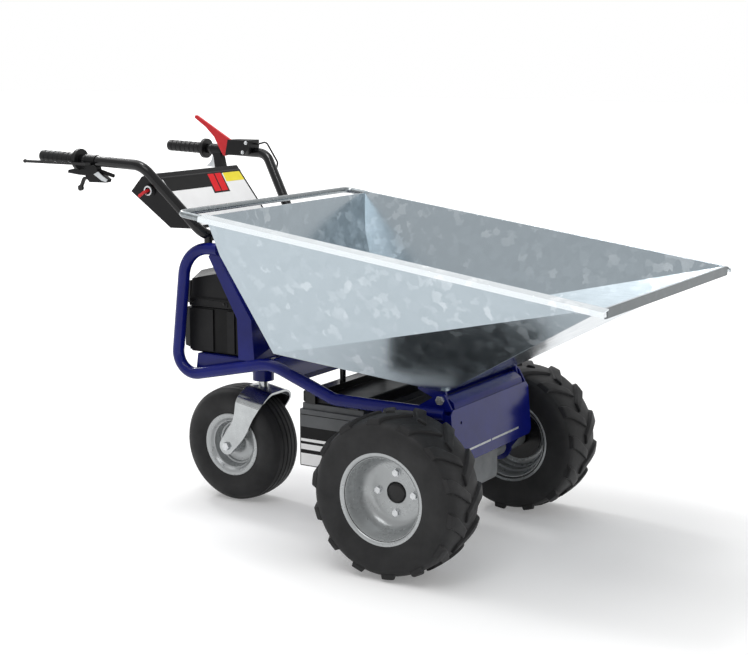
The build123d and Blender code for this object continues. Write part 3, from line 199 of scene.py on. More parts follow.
def galvanised(name, dark, mid, light, spangle_mm, roughness):
    """Zinc-coated sheet with crystals of spangle_mm, a few of them bright."""
    material, tree, shader = new_finish(name, 0.95, roughness)
    place = add(tree, "ShaderNodeTexCoord", {})
    wobble = add(tree, "ShaderNodeTexNoise", {
        "Vector": place.outputs["Object"], "Scale": 1 / (0.8 * spangle_mm * MM), "Detail": 3.0})
    bend = add(tree, "ShaderNodeVectorMath", {
        0: wobble.outputs["Color"], 1: (1.4 * spangle_mm * MM,) * 3, 2: place.outputs["Object"]},
        operation="MULTIPLY_ADD")
    cells = add(tree, "ShaderNodeTexVoronoi", {
        "Vector": bend.outputs["Vector"], "Scale": 1 / (spangle_mm * MM), "Smoothness": 0.4}, feature="SMOOTH_F1")
    level = add(tree, "ShaderNodeRGBToBW", {"Color": cells.outputs["Color"]})
    quiet = add(tree, "ShaderNodeMix", {0: level.outputs["Val"], 6: linear(dark), 7: linear(mid)}, data_type="RGBA")
    cloud = add(tree, "ShaderNodeTexNoise", {
        "Vector": place.outputs["Object"], "Scale": 1 / (9 * spangle_mm * MM), "Detail": 3.0})
    chance = add(tree, "ShaderNodeMath", {0: level.outputs["Val"], 1: cloud.outputs["Fac"]}, operation="MULTIPLY")
    bright = add(tree, "ShaderNodeMapRange", {
        "Value": chance.outputs["Value"], "From Min": 0.30, "From Max": 0.50})
    shade = add(tree, "ShaderNodeMix", {0: bright.outputs["Result"], 6: quiet.outputs[2], 7: linear(light)},
                data_type="RGBA")
    gloss = add(tree, "ShaderNodeMapRange", {
        "Value": level.outputs["Val"], "To Min": roughness - 0.06, "To Max": roughness + 0.06})
    rolled = add(tree, "ShaderNodeVectorMath", {0: place.outputs["Object"], 1: ROLLED_LONG}, operation="MULTIPLY")
    ripple = add(tree, "ShaderNodeTexNoise", {
        "Vector": rolled.outputs["Vector"], "Scale": 1 / (RIPPLE_MM * MM), "Detail": 2.0})
    relief = add(tree, "ShaderNodeBump", {
        "Height": ripple.outputs["Fac"], "Strength": 0.5, "Distance": RIPPLE_HEIGHT_MM * MM})
    tree.links.new(shade.outputs[2], shader.inputs["Base Color"])
    tree.links.new(gloss.outputs["Result"], shader.inputs["Roughness"])
    tree.links.new(relief.outputs["Normal"], shader.inputs["Normal"])
    return material


zinc_sheet = galvanised("galvanised_sheet", "#ABB6BD", "#B3BEC5", "#C6CFD5", 24, 0.20)
# The rim flanges are rolled after the sheet is cut, and they face up to the lamps overhead: their lighter zinc is a
# painted highlight.
flange_zinc_painted_highlight = galvanised("galvanised_flange_painted_highlight", "#D8DEE2", "#DFE5E8", "#E9EDF0", 24, 0.22)
# The rear bar is a tube dipped with the hopper, its spangle finer; its darker grey is a painted reflection of the
# dark console near it.
tube_zinc_painted_reflection = galvanised("galvanised_tube_painted_reflection", "#868C8F", "#8F9598", "#9CA2A5", 10, 0.24)
# The lip is folded and duller than the sheet; its darker zinc is painted shade, from the shaded ground in front that
# it faces.
lip_zinc_painted_shade = galvanised("galvanised_lip_painted_shade", "#666B6D", "#6E7375", "#787D7F", 22, 0.40)
print("spangle on", zinc_sheet.name)

# %% [markdown]
# ## From mesh to piece
# Each piece is one bmesh, turned into an object that sits at the origin with its place in its mesh. It rides
# on a CAD body, takes one finish, and may stand for a CAD node, which is then hidden. A live
# Bevel modifier gives sheet and castings the small radius that catches the light.

# %% Making and riding
body_of = {node: body for body, nodes in frame["record"]["behaviour"]["bodies"].items() for node in nodes}
slot_of = {entry["node"]: entry["material_slot"] for entry in frame["record"]["subparts"]}


def piece(name, bm, finish, body, stands_for=(), edge_mm=0.0, smooth=32, subsurf=0):
    """Object from a bmesh, riding on a body."""
    mesh = bpy.data.meshes.new(name)
    bm.to_mesh(mesh)
    bm.free()
    for polygon in mesh.polygons:
        polygon.use_smooth = True
    mesh.set_sharp_from_angle(angle=radians(smooth))
    mesh.materials.append(finish)
    obj = bpy.data.objects.new(name, mesh)
    bpy.context.scene.collection.objects.link(obj)
    if edge_mm:
        edge = obj.modifiers.new("edge", "BEVEL")
        edge.width = edge_mm * MM
        edge.segments = 2
        edge.limit_method = "ANGLE"
        edge.angle_limit = radians(smooth)
        edge.harden_normals = True
    if subsurf:
        rounding = obj.modifiers.new("rounding", "SUBSURF")
        rounding.levels = subsurf
        rounding.render_levels = subsurf
    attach(obj, body)
    if stands_for:
        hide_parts(*stands_for)
    return obj


# %% [markdown]
# ## Dressing the CAD solids
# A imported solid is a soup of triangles. A copy of it is welded, its flat faces are dissolved back to whole
# polygons, and then a bevel can find the true edges. The copy stands for its node, so tubes shade round and
# folded sheet gets a bright line along each fold, with no change of shape.

# %% Copies of the CAD nodes
def dress(node, finish, edge_mm=0.6):
    """A welded copy of a CAD node with softened edges, standing for it."""
    bm = bmesh.new()
    bm.from_mesh(frame["nodes"][node].data)
    bmesh.ops.remove_doubles(bm, verts=bm.verts, dist=0.02 * MM)
    bmesh.ops.dissolve_limit(bm, angle_limit=radians(0.3), verts=bm.verts, edges=bm.edges)
    return piece(node + "_skin", bm, finish, body_of[node], [node], edge_mm)


finish_of_slot = {
    "blue_paint": navy_coat,
    "zinc_steel": zinc_plate,
    "galvanised": zinc_sheet,
    "grip_rubber": grip_rubber,
    "battery_grey": grey_plastic,
    "black_case": black_plastic,
    "gear_grey": grey_casting,
    "tyre_rubber": tyre_rubber,
    "silver_paint": silver_paint,
    "black_steel": black_coat,
    "face_panel": white_print,
    "alloy": cast_alloy,
    "red_plastic": red_plastic,
    "cable_jacket": cable_vinyl,
}
modelled_again = ["tyre_left", "tyre_right", "castor_tyre", "rim_left", "rim_right", "castor_rim", "hub_left",
                  "hub_right", "grips", "battery_case", "hopper_rear_bar", "key"]
# Nodes with a finish other than their slot's. The battery lid and the stop bar sit in deep shade under the hopper,
# and their black finishes are painted shade.
own_finish_and_painted_light = {"hopper_lip": lip_zinc_painted_shade, "hopper_rim_left": flange_zinc_painted_highlight, "hopper_rim_right": flange_zinc_painted_highlight,
              "battery_lid": black_plastic, "stop_bar": black_coat, "castor_fork": fork_zinc,
              "hopper_stops": black_coat}
edges = {"hopper_floor": 1.0, "console": 5.0, "rear_case": 4.0, "rear_case_lid": 5.0,
         "battery_lid": 4.0, "gearbox": 4.0, "throttle_block": 2.0, "castor_fork": 1.0, "front_cover": 0.8}
for node in frame["nodes"]:
    if node not in modelled_again:
        dress(node, own_finish_and_painted_light.get(node, finish_of_slot[slot_of[node]]), edges.get(node, 0.6))
print(len(frame["nodes"]) - len(modelled_again), "nodes dressed")

# %% [markdown]
# ## Front tyres
# A tractor-pattern tyre is a smooth doughnut, the carcass, with two rows of slanting lugs that meet in
# chevrons. The carcass is a profile spun round the axle and smoothed. One lug is drawn flat, raised, softened
# and then bent onto the crown, and a spin that duplicates makes the row. The second row is its mirror image,
# half a pitch round.

# %% The carcass
def lathe(profile, steps, centre, side=1):
    """Turns a closed profile of (outward along the axle, radius), in millimetres, round a line along Y."""
    bm = bmesh.new()
    ring = [bm.verts.new((0, side * out * MM, radius * MM)) for out, radius in profile]
    loop = [bm.edges.new(pair) for pair in zip(ring, ring[1:] + ring[:1])]
    bmesh.ops.spin(bm, geom=ring + loop, cent=(0, 0, 0), axis=(0, 1, 0), angle=2 * pi, steps=steps, use_merge=True)
    bmesh.ops.remove_doubles(bm, verts=bm.verts, dist=0.001 * MM)
    bmesh.ops.recalc_face_normals(bm, faces=bm.faces)
    bmesh.ops.translate(bm, vec=centre, verts=bm.verts)
    return bm


def both_sides(half):
    """Closed profile from its outer half."""
    return half + [(-out, radius) for out, radius in reversed(half) if out > 0]


carcass = both_sides([(60, 101.6), (70, 101.8), (73, 104), (75.5, 116), (79.5, 128), (82.5, 146), (82.3, 163),
                      (80.5, 176), (74, 186), (62, 191), (46, 194), (28, 195.5), (0, 196)])
for side, hand in HANDS:
    bm = lathe(carcass, 72, middle("tyre_" + hand))
    piece("tyre_carcass_" + hand, bm, tyre_rubber, "wheel_" + hand, ["tyre_" + hand], subsurf=1)
print("carcass width", 2 * max(out for out, _ in carcass), "mm")

# %% The lugs
LUGS = 14
lug_tip, tip_fall = 202.2, 8.5
lug_foot, foot_fall = 190.0, 9.0
lug_rise, lug_edge = 12.0, 2.4
back_lean, nose_lean = 7.0, -2.0
tread_half = 80.0
lug_back = [(-43, 76), (-37, 58), (13, -5)]
lug_nose = [(-3, 76), (5, 58), (45, -5)]


def lug_bottom(v):
    """Radius just under the carcass at a distance from the tread's middle."""
    return lug_foot - foot_fall * (abs(v) / tread_half) ** 4


def lug_top(v):
    """Radius of the lug's face."""
    return lug_tip - tip_fall * (abs(v) / tread_half) ** 4


def along(line, v):
    """Place round the tread of a lug's edge at a distance from the tread's middle."""
    for (u0, v0), (u1, v1) in zip(line, line[1:]):
        if v >= v1 or (u1, v1) == line[-1]:
            return u0 + (u1 - u0) * (v0 - v) / (v0 - v1)


def grow(bm, faces):
    """Extrudes faces; returns the new verts, which still lie on the old ones."""
    grown = bmesh.ops.extrude_face_region(bm, geom=faces)
    return [g for g in grown["geom"] if isinstance(g, bmesh.types.BMVert)]


def lug_row(side, start):
    """One row of lugs on the tread's outer (side 1) or inner (side -1) half."""
    bm = bmesh.new()
    back = [bm.verts.new((u * MM, v * MM, 0)) for u, v in lug_back]
    nose = [bm.verts.new((u * MM, v * MM, 0)) for u, v in lug_nose]
    for i in (0, 1):
        bm.faces.new((back[i], back[i + 1], nose[i + 1], nose[i]))
    bmesh.ops.subdivide_edges(bm, edges=bm.edges, cuts=3, use_grid_fill=True)
    top = grow(bm, bm.faces[:])
    for vert in top:
        u, v, _ = vert.co / MM
        share = (u - along(lug_back, v)) / (along(lug_nose, v) - along(lug_back, v))
        vert.co.x += (back_lean + (nose_lean - back_lean) * share) * MM
    bmesh.ops.translate(bm, vec=(0, 0, lug_rise * MM), verts=top)
    rim = [e for e in bm.edges
           if e.calc_face_angle(0) > radians(35) and all(v.co.z > lug_rise * MM / 2 for v in e.verts)]
    bmesh.ops.bevel(bm, geom=rim, offset=lug_edge * MM, segments=3, profile=0.5, affect="EDGES", material=-1)
    for vert in bm.verts:
        u, v, height = vert.co / MM
        radius = lug_bottom(v) + (lug_top(v) - lug_bottom(v)) * height / lug_rise
        turn = u / lug_tip + start
        vert.co = Vector((radius * sin(turn), side * v, radius * cos(turn))) * MM
    bmesh.ops.spin(bm, geom=bm.verts[:] + bm.edges[:] + bm.faces[:], cent=(0, 0, 0), axis=(0, 1, 0),
                   angle=2 * pi * (LUGS - 1) / LUGS, steps=LUGS - 1, use_duplicate=True)
    bmesh.ops.recalc_face_normals(bm, faces=bm.faces)
    return bm


for outer, hand in HANDS:
    for side, start, row in ((outer, 0, "outer"), (-outer, pi / LUGS, "inner")):
        bm = lug_row(side, start)
        bmesh.ops.translate(bm, vec=middle("tyre_" + hand), verts=bm.verts)
        piece("tyre_lugs_" + hand + "_" + row, bm, tyre_rubber, "wheel_" + hand)
print(4 * LUGS, "lugs")

# %% [markdown]
# ## Front rims and hubs
# The rim is pressed steel: a rolled flange, a bead seat, a wall that narrows inwards and a flat disc near the
# tyre's middle, which is why the wheel looks so deep. It is one more profile for the lathe. The hub behind it
# carries a low black cap, and four zinc bolts hold the disc to it.

# %% Rims and hubs
dish = [(70, 101.4), (71, 114.5), (73, 115.5), (75, 115), (76, 113), (75, 107.5), (72, 104), (66, 101.5),
        (60, 99.5), (45, 97), (30, 94.5), (20, 92), (13, 88.5), (7, 83.5), (3, 78), (0.8, 72), (0, 65), (0, 25),
        (-4, 25), (-4, 72), (-8, 79), (-20, 82), (-23, 86), (-40, 89), (-43, 93.5), (-60, 98), (-72, 104),
        (-76, 113), (-73, 115.5), (-71, 114.5), (-70, 101.4)]
hub = [(5, 0), (5, 21), (3.5, 25), (0.3, 27), (0.3, 24.6), (-4.2, 24.6), (-4.2, 64), (-12, 64), (-12, 12.5),
       (-72, 12.5), (-72, 0)]
for side, hand in HANDS:
    bm = lathe(dish, 96, middle("tyre_" + hand), side)
    piece("rim_dish_" + hand, bm, silver_paint, "wheel_" + hand, ["rim_" + hand], smooth=40)
    bm = lathe(hub, 64, middle("tyre_" + hand), side)
    piece("hub_cap_" + hand, bm, black_coat, "wheel_" + hand, ["hub_" + hand], smooth=40)
print("rims and hubs turned")


# %% Hexagon bolts
def add_bolt(bm, place, facing, across_mm, high_mm, washer_mm):
    """A hexagon head on a washer, from a place on a surface and the way that surface faces."""
    turn = Matrix.Translation(place) @ Vector((0, 0, 1)).rotation_difference(facing).to_matrix().to_4x4()
    for sides, radius, low, top in ((32, washer_mm, -0.4, 1.4), (6, across_mm / 2 / cos(pi / 6), 1.4, 1.4 + high_mm)):
        bmesh.ops.create_cone(bm, cap_ends=True, segments=sides, radius1=radius * MM, radius2=0.95 * radius * MM,
                              depth=(top - low) * MM, matrix=turn @ Matrix.Translation((0, 0, (top + low) / 2 * MM)))


bolt_circle = 50
for side, hand in HANDS:
    bm = bmesh.new()
    for corner in range(4):
        spoke = Vector((cos(corner * pi / 2), 0, sin(corner * pi / 2)))
        add_bolt(bm, middle("tyre_" + hand) + spoke * bolt_circle * MM, Vector((0, side, 0)),
                 across_mm=17, high_mm=7, washer_mm=11)
    piece("wheel_bolts_" + hand, bm, zinc_plate, "wheel_" + hand, edge_mm=0.6)
print("eight wheel bolts")

# %% [markdown]
# ## Castor tyre
# The castor's tyre has plain ribs round it, as on a wheelbarrow. Ribs that run round the wheel belong in the
# lathe's profile, so no cutting is needed.

# %% Ribbed castor tyre
RIBS = 5
rib_pitch = 17.0
rib_foot, groove_floor = 162.0, 158.5
crown_curve = 0.0022
crown = []
for i in range(RIBS):
    centre = (i - (RIBS - 1) / 2) * rib_pitch
    for out, sink in ((-7.2, 0.0), (-6.0, -1.2), (6.0, -1.2), (7.2, 0.0)):
        crown.append((centre + out, rib_foot - sink - crown_curve * (centre + out) ** 2))
    if i < RIBS - 1:
        for out in (7.4, 9.6):
            crown.append((centre + out, groove_floor - crown_curve * (centre + out) ** 2))
flank = [(50.5, 77.2), (51.5, 88), (56, 98), (60.5, 112), (61, 128), (57, 144), (50, 152)]
ribbed = [(-out, radius) for out, radius in flank] + crown + list(reversed(flank))
bm = lathe(ribbed, 96, middle("castor_tyre"))
piece("castor_tyre_ribbed", bm, tyre_rubber, "castor_wheel", ["castor_tyre"], smooth=40)
print(RIBS, "ribs")

# %% [markdown]
# ## Castor rim
# The castor's rim steps down from flange to hub in rings, as two pressed halves bolted together do.

# %% Castor rim
castor_half = [(66, 8.1), (66, 20), (64.5, 22), (22, 22), (17, 24), (14, 28), (13, 34), (13, 50), (15, 54), (20, 56),
               (22, 60), (30, 62), (42, 66), (44, 70), (50, 73), (52.5, 77), (53.5, 82), (54, 86.5), (53, 88.3),
               (51.5, 88), (50.3, 84), (50, 77.1)]
bm = lathe(castor_half + [(-out, radius) for out, radius in reversed(castor_half)], 96, middle("castor_tyre"))
piece("castor_rim_pressed", bm, silver_paint, "castor_wheel", ["castor_rim"], smooth=40)
print("castor rim turned")

# %% [markdown]
# ## Grips
# The rubber grips have seven soft rings and a broad collar against the thumb. They are lathe work too, turned
# round the Y axis and then swung onto the bar's line.

# %% Ribbed grips
RINGS = 7
ring_pitch = 17.0
grip_profile = [(-4, 0), (-4, 13), (-2.5, 15.5)]
for i in range(RINGS):
    foot = 2 + i * ring_pitch
    grip_profile += [(foot, 16.4), (foot + 10, 16.4), (foot + 11.5, 15), (foot + 15.5, 15)]
grip_profile += [(124, 16.2), (126, 18), (127, 27), (129, 29), (139, 29), (140, 28), (140, 14.1), (0, 14.1), (0, 0)]
grip_start = at(-1168, 274, 966)
grip_line = (at(-815, 279, 953) - grip_start).normalized()
bm = lathe(grip_profile, 48, Vector())
swing = Vector((0, 1, 0)).rotation_difference(grip_line).to_matrix().to_4x4()
bmesh.ops.transform(bm, matrix=Matrix.Translation(grip_start) @ swing, verts=bm.verts)
bmesh.ops.mirror(bm, geom=bm.verts[:] + bm.edges[:] + bm.faces[:], axis="Y", merge_dist=0)
bmesh.ops.recalc_face_normals(bm, faces=bm.faces)
piece("grips_ribbed", bm, grip_rubber, body_of["grips"], ["grips"], smooth=35)
print(RINGS, "rings on each grip")

# %% [markdown]
# ## Printed films
# The console's face carries a black band, two slanted red bars and a yellow block, and the battery's face has
# light stripes. Each print is a thin plate of its own colour, drawn flat on the face it sticks to and raised
# by less than a millimetre.

# %% Flat prints
def prints(name, shapes, place, facing, finish, body, thick_mm=0.5):
    """Thin plates: place turns a shape's flat points, in millimetres, into points in space."""
    bm = bmesh.new()
    for shape in shapes:
        face = bm.faces.new([bm.verts.new(place(u, v)) for u, v in shape])
        bmesh.ops.translate(bm, vec=facing * thick_mm * MM, verts=grow(bm, [face]))
    bmesh.ops.recalc_face_normals(bm, faces=bm.faces)
    return piece(name, bm, finish, body)


def on_console(y, up, lift=2.0):
    """Point on the console's face, from its side and its distance up the handlebar's legs."""
    return leg_foot + leg_up * up * MM + Vector((0, y * MM, 0)) + leg_face * lift * MM


face_body = body_of["console_panel"]
prints("console_black_print", [
    [(-236, 187), (-248, 189.5), (20, 189.5), (9, 126), (-61, 126), (-57, 148), (-232, 148)],
], on_console, leg_face, black_print, face_body, 0.3)
prints("console_red_print", [
    [(-43, 188), (-17, 188), (-28, 131), (-54, 131)],
    [(-12, 188), (15, 188), (4, 131), (-23, 131)],
], on_console, leg_face, red_print, face_body, 0.6)
prints("console_yellow_print", [[(25, 187), (101, 187), (101, 158), (19, 158)]], on_console, leg_face, yellow_print,
       face_body, 0.3)
print("console printed")

# %% [markdown]
# ## Battery case
# The case is a moulded box with a shoulder below its lid. A box grown from its bottom face gives it: up, in by
# the shoulder's width, and up again. Its faces carry a black band and a striped film.

# %% Battery case and its films
low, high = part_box("battery_case")
shoulder_drop, shoulder_in = 16 * MM, 8 * MM
film_side, film_margin = 186, 4
bm = bmesh.new()
corners = [(low.x, low.y), (high.x, low.y), (high.x, high.y), (low.x, high.y)]
bottom = bm.faces.new([bm.verts.new((x, y, low.z)) for x, y in corners])
top = bottom
for height, inset in ((high.z - shoulder_drop, shoulder_in), (high.z, 0)):
    grown = bmesh.ops.extrude_face_region(bm, geom=[top])
    top = [g for g in grown["geom"] if isinstance(g, bmesh.types.BMFace)][0]
    bmesh.ops.translate(bm, vec=(0, 0, height - top.calc_center_median().z), verts=top.verts)
    if inset:
        bmesh.ops.inset_region(bm, faces=[top], thickness=inset)
bmesh.ops.recalc_face_normals(bm, faces=bm.faces)
battery_body = body_of["battery_case"]
piece("battery_case_moulded", bm, grey_plastic, battery_body, ["battery_case"], edge_mm=2.0)
bands = {
    "battery_black_film": (
        black_print, [(286.8, 255.8), (248.2, 241.3), (226.5, 216.3), (320.5, 318.6), (185, 182.5)]),
    "battery_light_film": (white_print, [(255.8, 248.2), (241.3, 226.5), (216.3, 185)]),
}
film_rear = (low.x - axle.x) / MM + film_margin
film_front = (high.x - axle.x) / MM - film_margin
for name, (finish, heights) in bands.items():
    for side, hand in HANDS:
        strips = [[(film_rear, z0), (film_front, z0), (film_front, z1), (film_rear, z1)] for z0, z1 in heights]
        prints(name + "_" + hand, strips, lambda x, z: at(x, side * film_side, z), Vector((0, side, 0)), finish,
               battery_body)
print("battery case", [round(v / MM) for v in high - low], "mm")

# %% [markdown]
# ## Rear case
# The black case behind the bulkhead is moulded: a crowned lid, a skirt held by two screws a side, raised side
# panels with a deep pocket between them, and a back that bulges between the frame's tubes. Plates raised from
# the CAD faces give the panels, and the crown and the back are faces grown outwards and drawn in.

# %% Panels, crown and back of the rear case
case_body, case_slot = body_of["rear_case"], slot_of["rear_case"]
panel_side, pocket_side, strap_side, screw_side = 167.5, 167.6, 173.6, 175.6
panels = [[(-752, 566), (-673, 566), (-673, 452), (-752, 452)],
          [(-626, 566), (-602, 566), (-602, 452), (-626, 452)]]
for side, hand in HANDS:
    outward = Vector((0, side, 0))
    prints("rear_case_panels_" + hand, panels, lambda x, z: at(x, side * panel_side, z), outward, black_plastic,
           case_body, 5.0)
    # The black film in the pocket between the panels is painted shade.
    prints("rear_case_pocket_shade_" + hand, [[(-672, 568), (-627, 568), (-627, 450), (-672, 450)]],
           lambda x, z: at(x, side * pocket_side, z), outward, black_print, case_body, 0.6)
    prints("rear_case_strap_" + hand, [[(-748, 593), (-626, 591), (-620, 586), (-622, 577), (-748, 579)]],
           lambda x, z: at(x, side * strap_side, z), outward, black_plastic, case_body, 2.4)
    bm = bmesh.new()
    for ahead in (-738, -632):
        add_bolt(bm, at(ahead, side * screw_side, 585), outward, across_mm=6, high_mm=2, washer_mm=4.5)
    piece("rear_case_screws_" + hand, bm, black_coat, case_body, edge_mm=0.4)


def swell(name, corners, draw_in, lift):
    """A face grown along lift and drawn in towards its middle, as a moulded bulge."""
    bm = bmesh.new()
    face = bm.faces.new([bm.verts.new(corner) for corner in corners])
    top = grow(bm, [face])
    centre = sum((v.co for v in top), Vector()) / len(top)
    for vert in top:
        vert.co = centre + Matrix.Diagonal(draw_in) @ (vert.co - centre) + lift
    bmesh.ops.recalc_face_normals(bm, faces=bm.faces)
    piece(name, bm, black_plastic, case_body, edge_mm=4.0)


swell("rear_case_crown", [at(-746, -170, 644), at(-657, -170, 664), at(-657, 170, 664), at(-746, 170, 644)],
      (0.92, 0.78, 1.0), Vector((0, 0, 20 * MM)))
swell("rear_case_back", [at(-751.5, -164, 452), at(-751.5, 164, 452), at(-751.5, 164, 568), at(-751.5, -164, 568)],
      (1.0, 0.96, 0.92), Vector((-30 * MM, 0, 0)))
swell("rear_case_lid_back",
      [at(-751.5, -170, 576), at(-751.5, 170, 576), at(-748.5, 168, 640), at(-748.5, -168, 640)],
      (1.0, 0.97, 0.94), Vector((-14 * MM, 0, 0)))
print("rear case moulded")

# %% [markdown]
# ## Bent bars
# The rear bar, the roll along the console's top edge and the red key are round bars. A bar is a row of circles
# along its line, bridged to a skin; at a bend the circles stand closer, turned round the bend's centre.

# %% Bars
def rounded(points, bend_mm, cuts=8):
    """The points of a line with its corners rounded to a radius."""
    line = [points[0]]
    for before, corner, after in zip(points, points[1:], points[2:]):
        come, leave = (corner - before).normalized(), (after - corner).normalized()
        turn = come.angle(leave)
        start = corner - come * bend_mm * MM * sin(turn / 2) / cos(turn / 2)
        inward = (leave - come * cos(turn)) / sin(turn)
        centre = start + inward * bend_mm * MM
        for i in range(cuts + 1):
            share = turn * i / cuts
            line.append(centre + (come * sin(share) - inward * cos(share)) * bend_mm * MM)
    return line + [points[-1]]


def add_bar(bm, line, radius_mm, sides=24):
    """A round bar along a line of points."""
    rings = []
    for i, point in enumerate(line):
        ahead = (line[min(i + 1, len(line) - 1)] - line[max(i - 1, 0)]).normalized()
        turn = Matrix.Translation(point) @ Vector((0, 0, 1)).rotation_difference(ahead).to_matrix().to_4x4()
        capped = i in (0, len(line) - 1)
        ring = bmesh.ops.create_circle(bm, cap_ends=capped, segments=sides, radius=radius_mm * MM, matrix=turn)
        rings.append(list({edge for vert in ring["verts"] for edge in vert.link_edges}))
    for one, other in zip(rings, rings[1:]):
        bmesh.ops.bridge_loops(bm, edges=one + other)
    bmesh.ops.recalc_face_normals(bm, faces=bm.faces)


bm = bmesh.new()
corners = [at(-537, -388.5, 840), at(-607, -388.5, 849), at(-607, 388.5, 849), at(-537, 388.5, 840)]
add_bar(bm, rounded(corners, bend_mm=22), radius_mm=8.5)
# The bar's darker zinc is a painted reflection of the dark console.
piece("rear_bar_bent", bm, tube_zinc_painted_reflection, body_of["hopper_rear_bar"], ["hopper_rear_bar"],
      smooth=40)
bm = bmesh.new()
add_bar(bm, [on_console(-262, 190, -4), on_console(110, 190, -4)], radius_mm=7)
piece("console_roll", bm, black_plastic, body_of["console"], edge_mm=1.5)
bm = bmesh.new()
key_line = [at(-804, -262, 888), at(-804, -283, 886), at(-824, -284, 872)]
add_bar(bm, rounded(key_line, bend_mm=9), radius_mm=4.2, sides=16)
piece("key_bent", bm, red_plastic, body_of["key"], ["key"], edge_mm=1.0)
bm = lathe([(270, 9), (270, 13.5), (272.6, 13), (273, 11.5), (272.6, 9)], 40, at(-803.9, 0, 887.2), -1)
piece("key_ring", bm, zinc_plate, body_of["key_switch"], smooth=40)
print("bars bent")

# %% [markdown]
# ## Small parts
# The brake lever ends in a ball so that it cannot hurt a hand. A folded plate joins the frame's tubes below the
# hopper, in front of the castor. Two light stripes cross the front cover. Each is small enough for one operator:
# a sphere, an extruded outline and more of the thin plates.

# %% Ball, plate and stripes
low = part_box("brake_lever")[0]
tip = [v.co for v in frame["nodes"]["brake_lever"].data.vertices if v.co.x < low.x + 4 * MM]
tip = sum(tip, Vector()) / len(tip)
bm = bmesh.new()
bmesh.ops.create_uvsphere(bm, u_segments=24, v_segments=16, radius=5.5 * MM,
                          matrix=Matrix.Translation((low.x + 5.6 * MM, tip.y, tip.z)))
piece("brake_lever_ball", bm, black_coat, body_of["brake_lever"], smooth=60)

bm = bmesh.new()
knee_half = 145
knee_fold = [(-513, 440), (-500, 437), (-436, 400), (-432, 388), (-434.5, 387), (-438.5, 397.5), (-501, 434),
             (-513, 437)]
face = bm.faces.new([bm.verts.new(at(ahead, -knee_half, z)) for ahead, z in knee_fold])
bmesh.ops.translate(bm, vec=(0, 2 * knee_half * MM, 0), verts=grow(bm, [face]))
bmesh.ops.recalc_face_normals(bm, faces=bm.faces)
piece("knee_plate", bm, navy_coat, "chassis", edge_mm=0.6)

cover_top_ahead, cover_top_z = 76, 388
cover_foot_ahead, cover_foot_z = 89, 248
cover_lean = (cover_foot_ahead - cover_top_ahead) / (cover_top_z - cover_foot_z)
cover_face = Vector((1, 0, cover_lean)).normalized()
cover_out = (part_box("front_cover")[1].x - axle.x) / MM - cover_foot_ahead
stripes = [[(-134, 279), (-16, 279), (-18, 274), (-136, 274)], [(-10, 279), (139, 279), (137, 274), (-12, 274)]]
prints("cover_stripes", stripes, lambda y, z: at(cover_top_ahead + (cover_top_z - z) * cover_lean + cover_out, y, z),
       cover_face, silver_paint, body_of["front_cover"], 0.4)
prints("console_edge", [[(101, 189), (107, 189), (107, 35), (101, 35)]], on_console, leg_face, black_print, face_body,
       0.4)
bm = bmesh.new()
sideways = Vector((0, -1, 0))
for ahead, z in ((-872, 956), (-860, 984)):
    add_bolt(bm, at(ahead, 240, z), sideways, across_mm=7, high_mm=3, washer_mm=6)
piece("throttle_screws", bm, zinc_plate, body_of["throttle_block"], edge_mm=0.4)
print("lever tip at", [round(v, 3) for v in tip], "cover proud by", round(cover_out, 1), "mm")

# %% [markdown]
# ## Studio
# The machine stands on a white floor that runs out of sight. The floor is a plain diffuse surface, so it
# takes the shadows, and a little glow, seen by the camera and in metal, lifts the open floor to white. The glow
# grows with the distance from the machine, as a floor does that sweeps up into a lit backdrop. The world is a
# white backdrop behind the machine that falls off to a dim room behind the camera, as in a real studio, so that
# polished sheet has something to show.

# %% Floor and world
bm = bmesh.new()
bmesh.ops.create_grid(bm, x_segments=1, y_segments=1, size=30)
mesh = bpy.data.meshes.new("studio_floor")
bm.to_mesh(mesh)
bm.free()
floor = bpy.data.objects.new("studio_floor", mesh)
bpy.context.scene.collection.objects.link(floor)


def backdrop_rays(tree):
    """1 for the rays that show the backdrop itself: from the camera, off metal and through glass."""
    path = add(tree, "ShaderNodeLightPath", {})
    mirrored = add(tree, "ShaderNodeMath", {
        0: path.outputs["Is Glossy Ray"], 1: path.outputs["Is Transmission Ray"]}, operation="MAXIMUM")
    return add(tree, "ShaderNodeMath", {
        0: path.outputs["Is Camera Ray"], 1: mirrored.outputs["Value"]}, operation="MAXIMUM").outputs["Value"]


NEAR_GLOW, FAR_GLOW = 0.22, 0.7
NEAR_M, FAR_M = 0.9, 5.0
material, tree, shader = new_finish("white_floor_paint", 0.0, 0.9)
shader.inputs["Base Color"].default_value = linear("#E6E6E6")
shader.inputs["Emission Color"].default_value = linear("#FFFFFF")
place = add(tree, "ShaderNodeTexCoord", {})
away = add(tree, "ShaderNodeVectorMath", {0: place.outputs["Object"]}, operation="LENGTH")
glow = add(tree, "ShaderNodeMapRange", {
    "Value": away.outputs["Value"], "From Min": NEAR_M, "From Max": FAR_M, "To Min": NEAR_GLOW, "To Max": FAR_GLOW})
seen = add(tree, "ShaderNodeMath", {0: backdrop_rays(tree), 1: glow.outputs["Result"]}, operation="MULTIPLY")
tree.links.new(seen.outputs["Value"], shader.inputs["Emission Strength"])
mesh.materials.append(material)

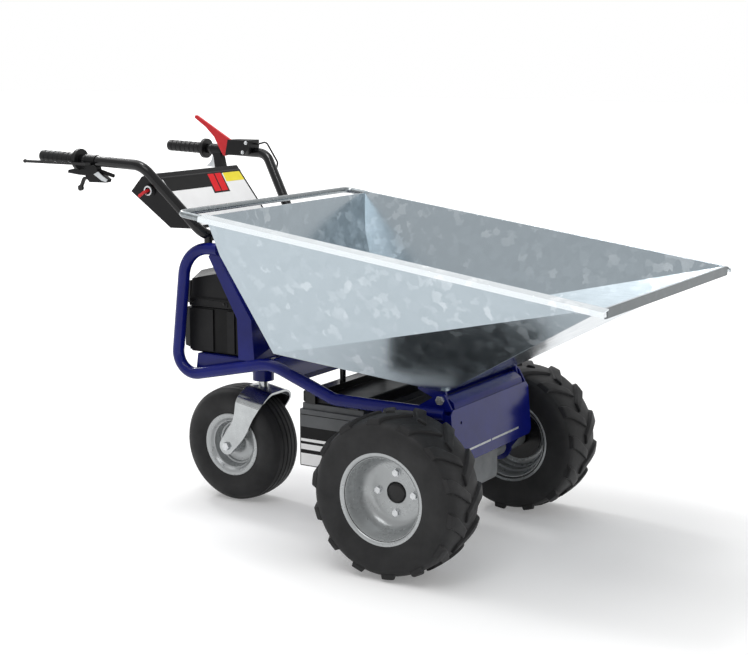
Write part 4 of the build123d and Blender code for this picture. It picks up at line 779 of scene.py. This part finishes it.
world = bpy.data.worlds.new("studio_world")
bpy.context.scene.world = world
world.use_nodes = True
tree = world.node_tree
WORLD_LIGHT = 0.7
DIM_ROOM = 0.7
BACKDROP = (-0.53, 0.85, 0.0)
strength = add(tree, "ShaderNodeMapRange", {"Value": backdrop_rays(tree), "To Min": WORLD_LIGHT, "To Max": 1.0})
place = add(tree, "ShaderNodeTexCoord", {})
facing = add(tree, "ShaderNodeVectorMath", {0: place.outputs["Generated"], 1: BACKDROP}, operation="DOT_PRODUCT")
fade = add(tree, "ShaderNodeMapRange", {
    "Value": facing.outputs["Value"], "From Min": 0.2, "From Max": 0.85, "To Min": DIM_ROOM, "To Max": 1.0},
    interpolation_type="SMOOTHSTEP")
tree.links.new(strength.outputs["Result"], tree.nodes["Background"].inputs["Strength"])
tree.links.new(fade.outputs["Result"], tree.nodes["Background"].inputs["Color"])
print("floor and world ready")

# %% [markdown]
# ## Light
# A product studio lights a machine from above with large soft lamps. A very wide sun gives the soft shadow under
# it, a box overhead brightens the hopper's rims, a fill on the camera's side opens up the dark parts, and a small
# strip behind draws a line of light along the tubes.

# %% Lamps
def lamp(name, kind, place, aim, power, **settings):
    """A soft lamp that faces a point."""
    data = bpy.data.lights.new(name, kind)
    data.energy = power
    for setting, value in settings.items():
        setattr(data, setting, value)
    obj = bpy.data.objects.new(name, data)
    obj.location = place
    obj.rotation_euler = (Vector(aim) - Vector(place)).to_track_quat("-Z", "Y").to_euler()
    bpy.context.scene.collection.objects.link(obj)


lamp("key_sun", "SUN", (-1.0, 0.3, 3.6), (0.1, 0.0, 0.3), 1.0, angle=radians(60))
lamp("overhead_box", "AREA", (-0.4, -0.3, 3.6), (0.0, 0.0, 0.4), 26, size=0.6)
lamp("front_fill", "AREA", (0.8, -2.1, 3.6), (0.0, 0.0, 0.5), 30, size=1.8)
lamp("rear_strip", "AREA", (-2.6, 1.0, 2.5), (0.0, 0.0, 0.5), 24, size=0.5)
print(len(bpy.data.lights), "lamps")

# %% [markdown]
# ## Camera
# The camera stands where the photographer stood, ahead of the machine on its right, a little above the handlebar.
# A long lens keeps the two wheels nearly the same size.

# %% Camera
camera_data = bpy.data.cameras.new("camera")
camera_data.lens = 75.0
camera_data.sensor_width = 36.0
camera = bpy.data.objects.new("camera", camera_data)
camera.location = (axle.x + 1.8644, -3.4461, 1.2610)
camera.rotation_euler = (radians(79.777), 0.0, radians(31.786))
bpy.context.scene.collection.objects.link(camera)
bpy.context.scene.camera = camera
bpy.context.scene.view_settings.view_transform = "Standard"
print("camera", round((camera.location - axle).length, 2), "m from the front axle")
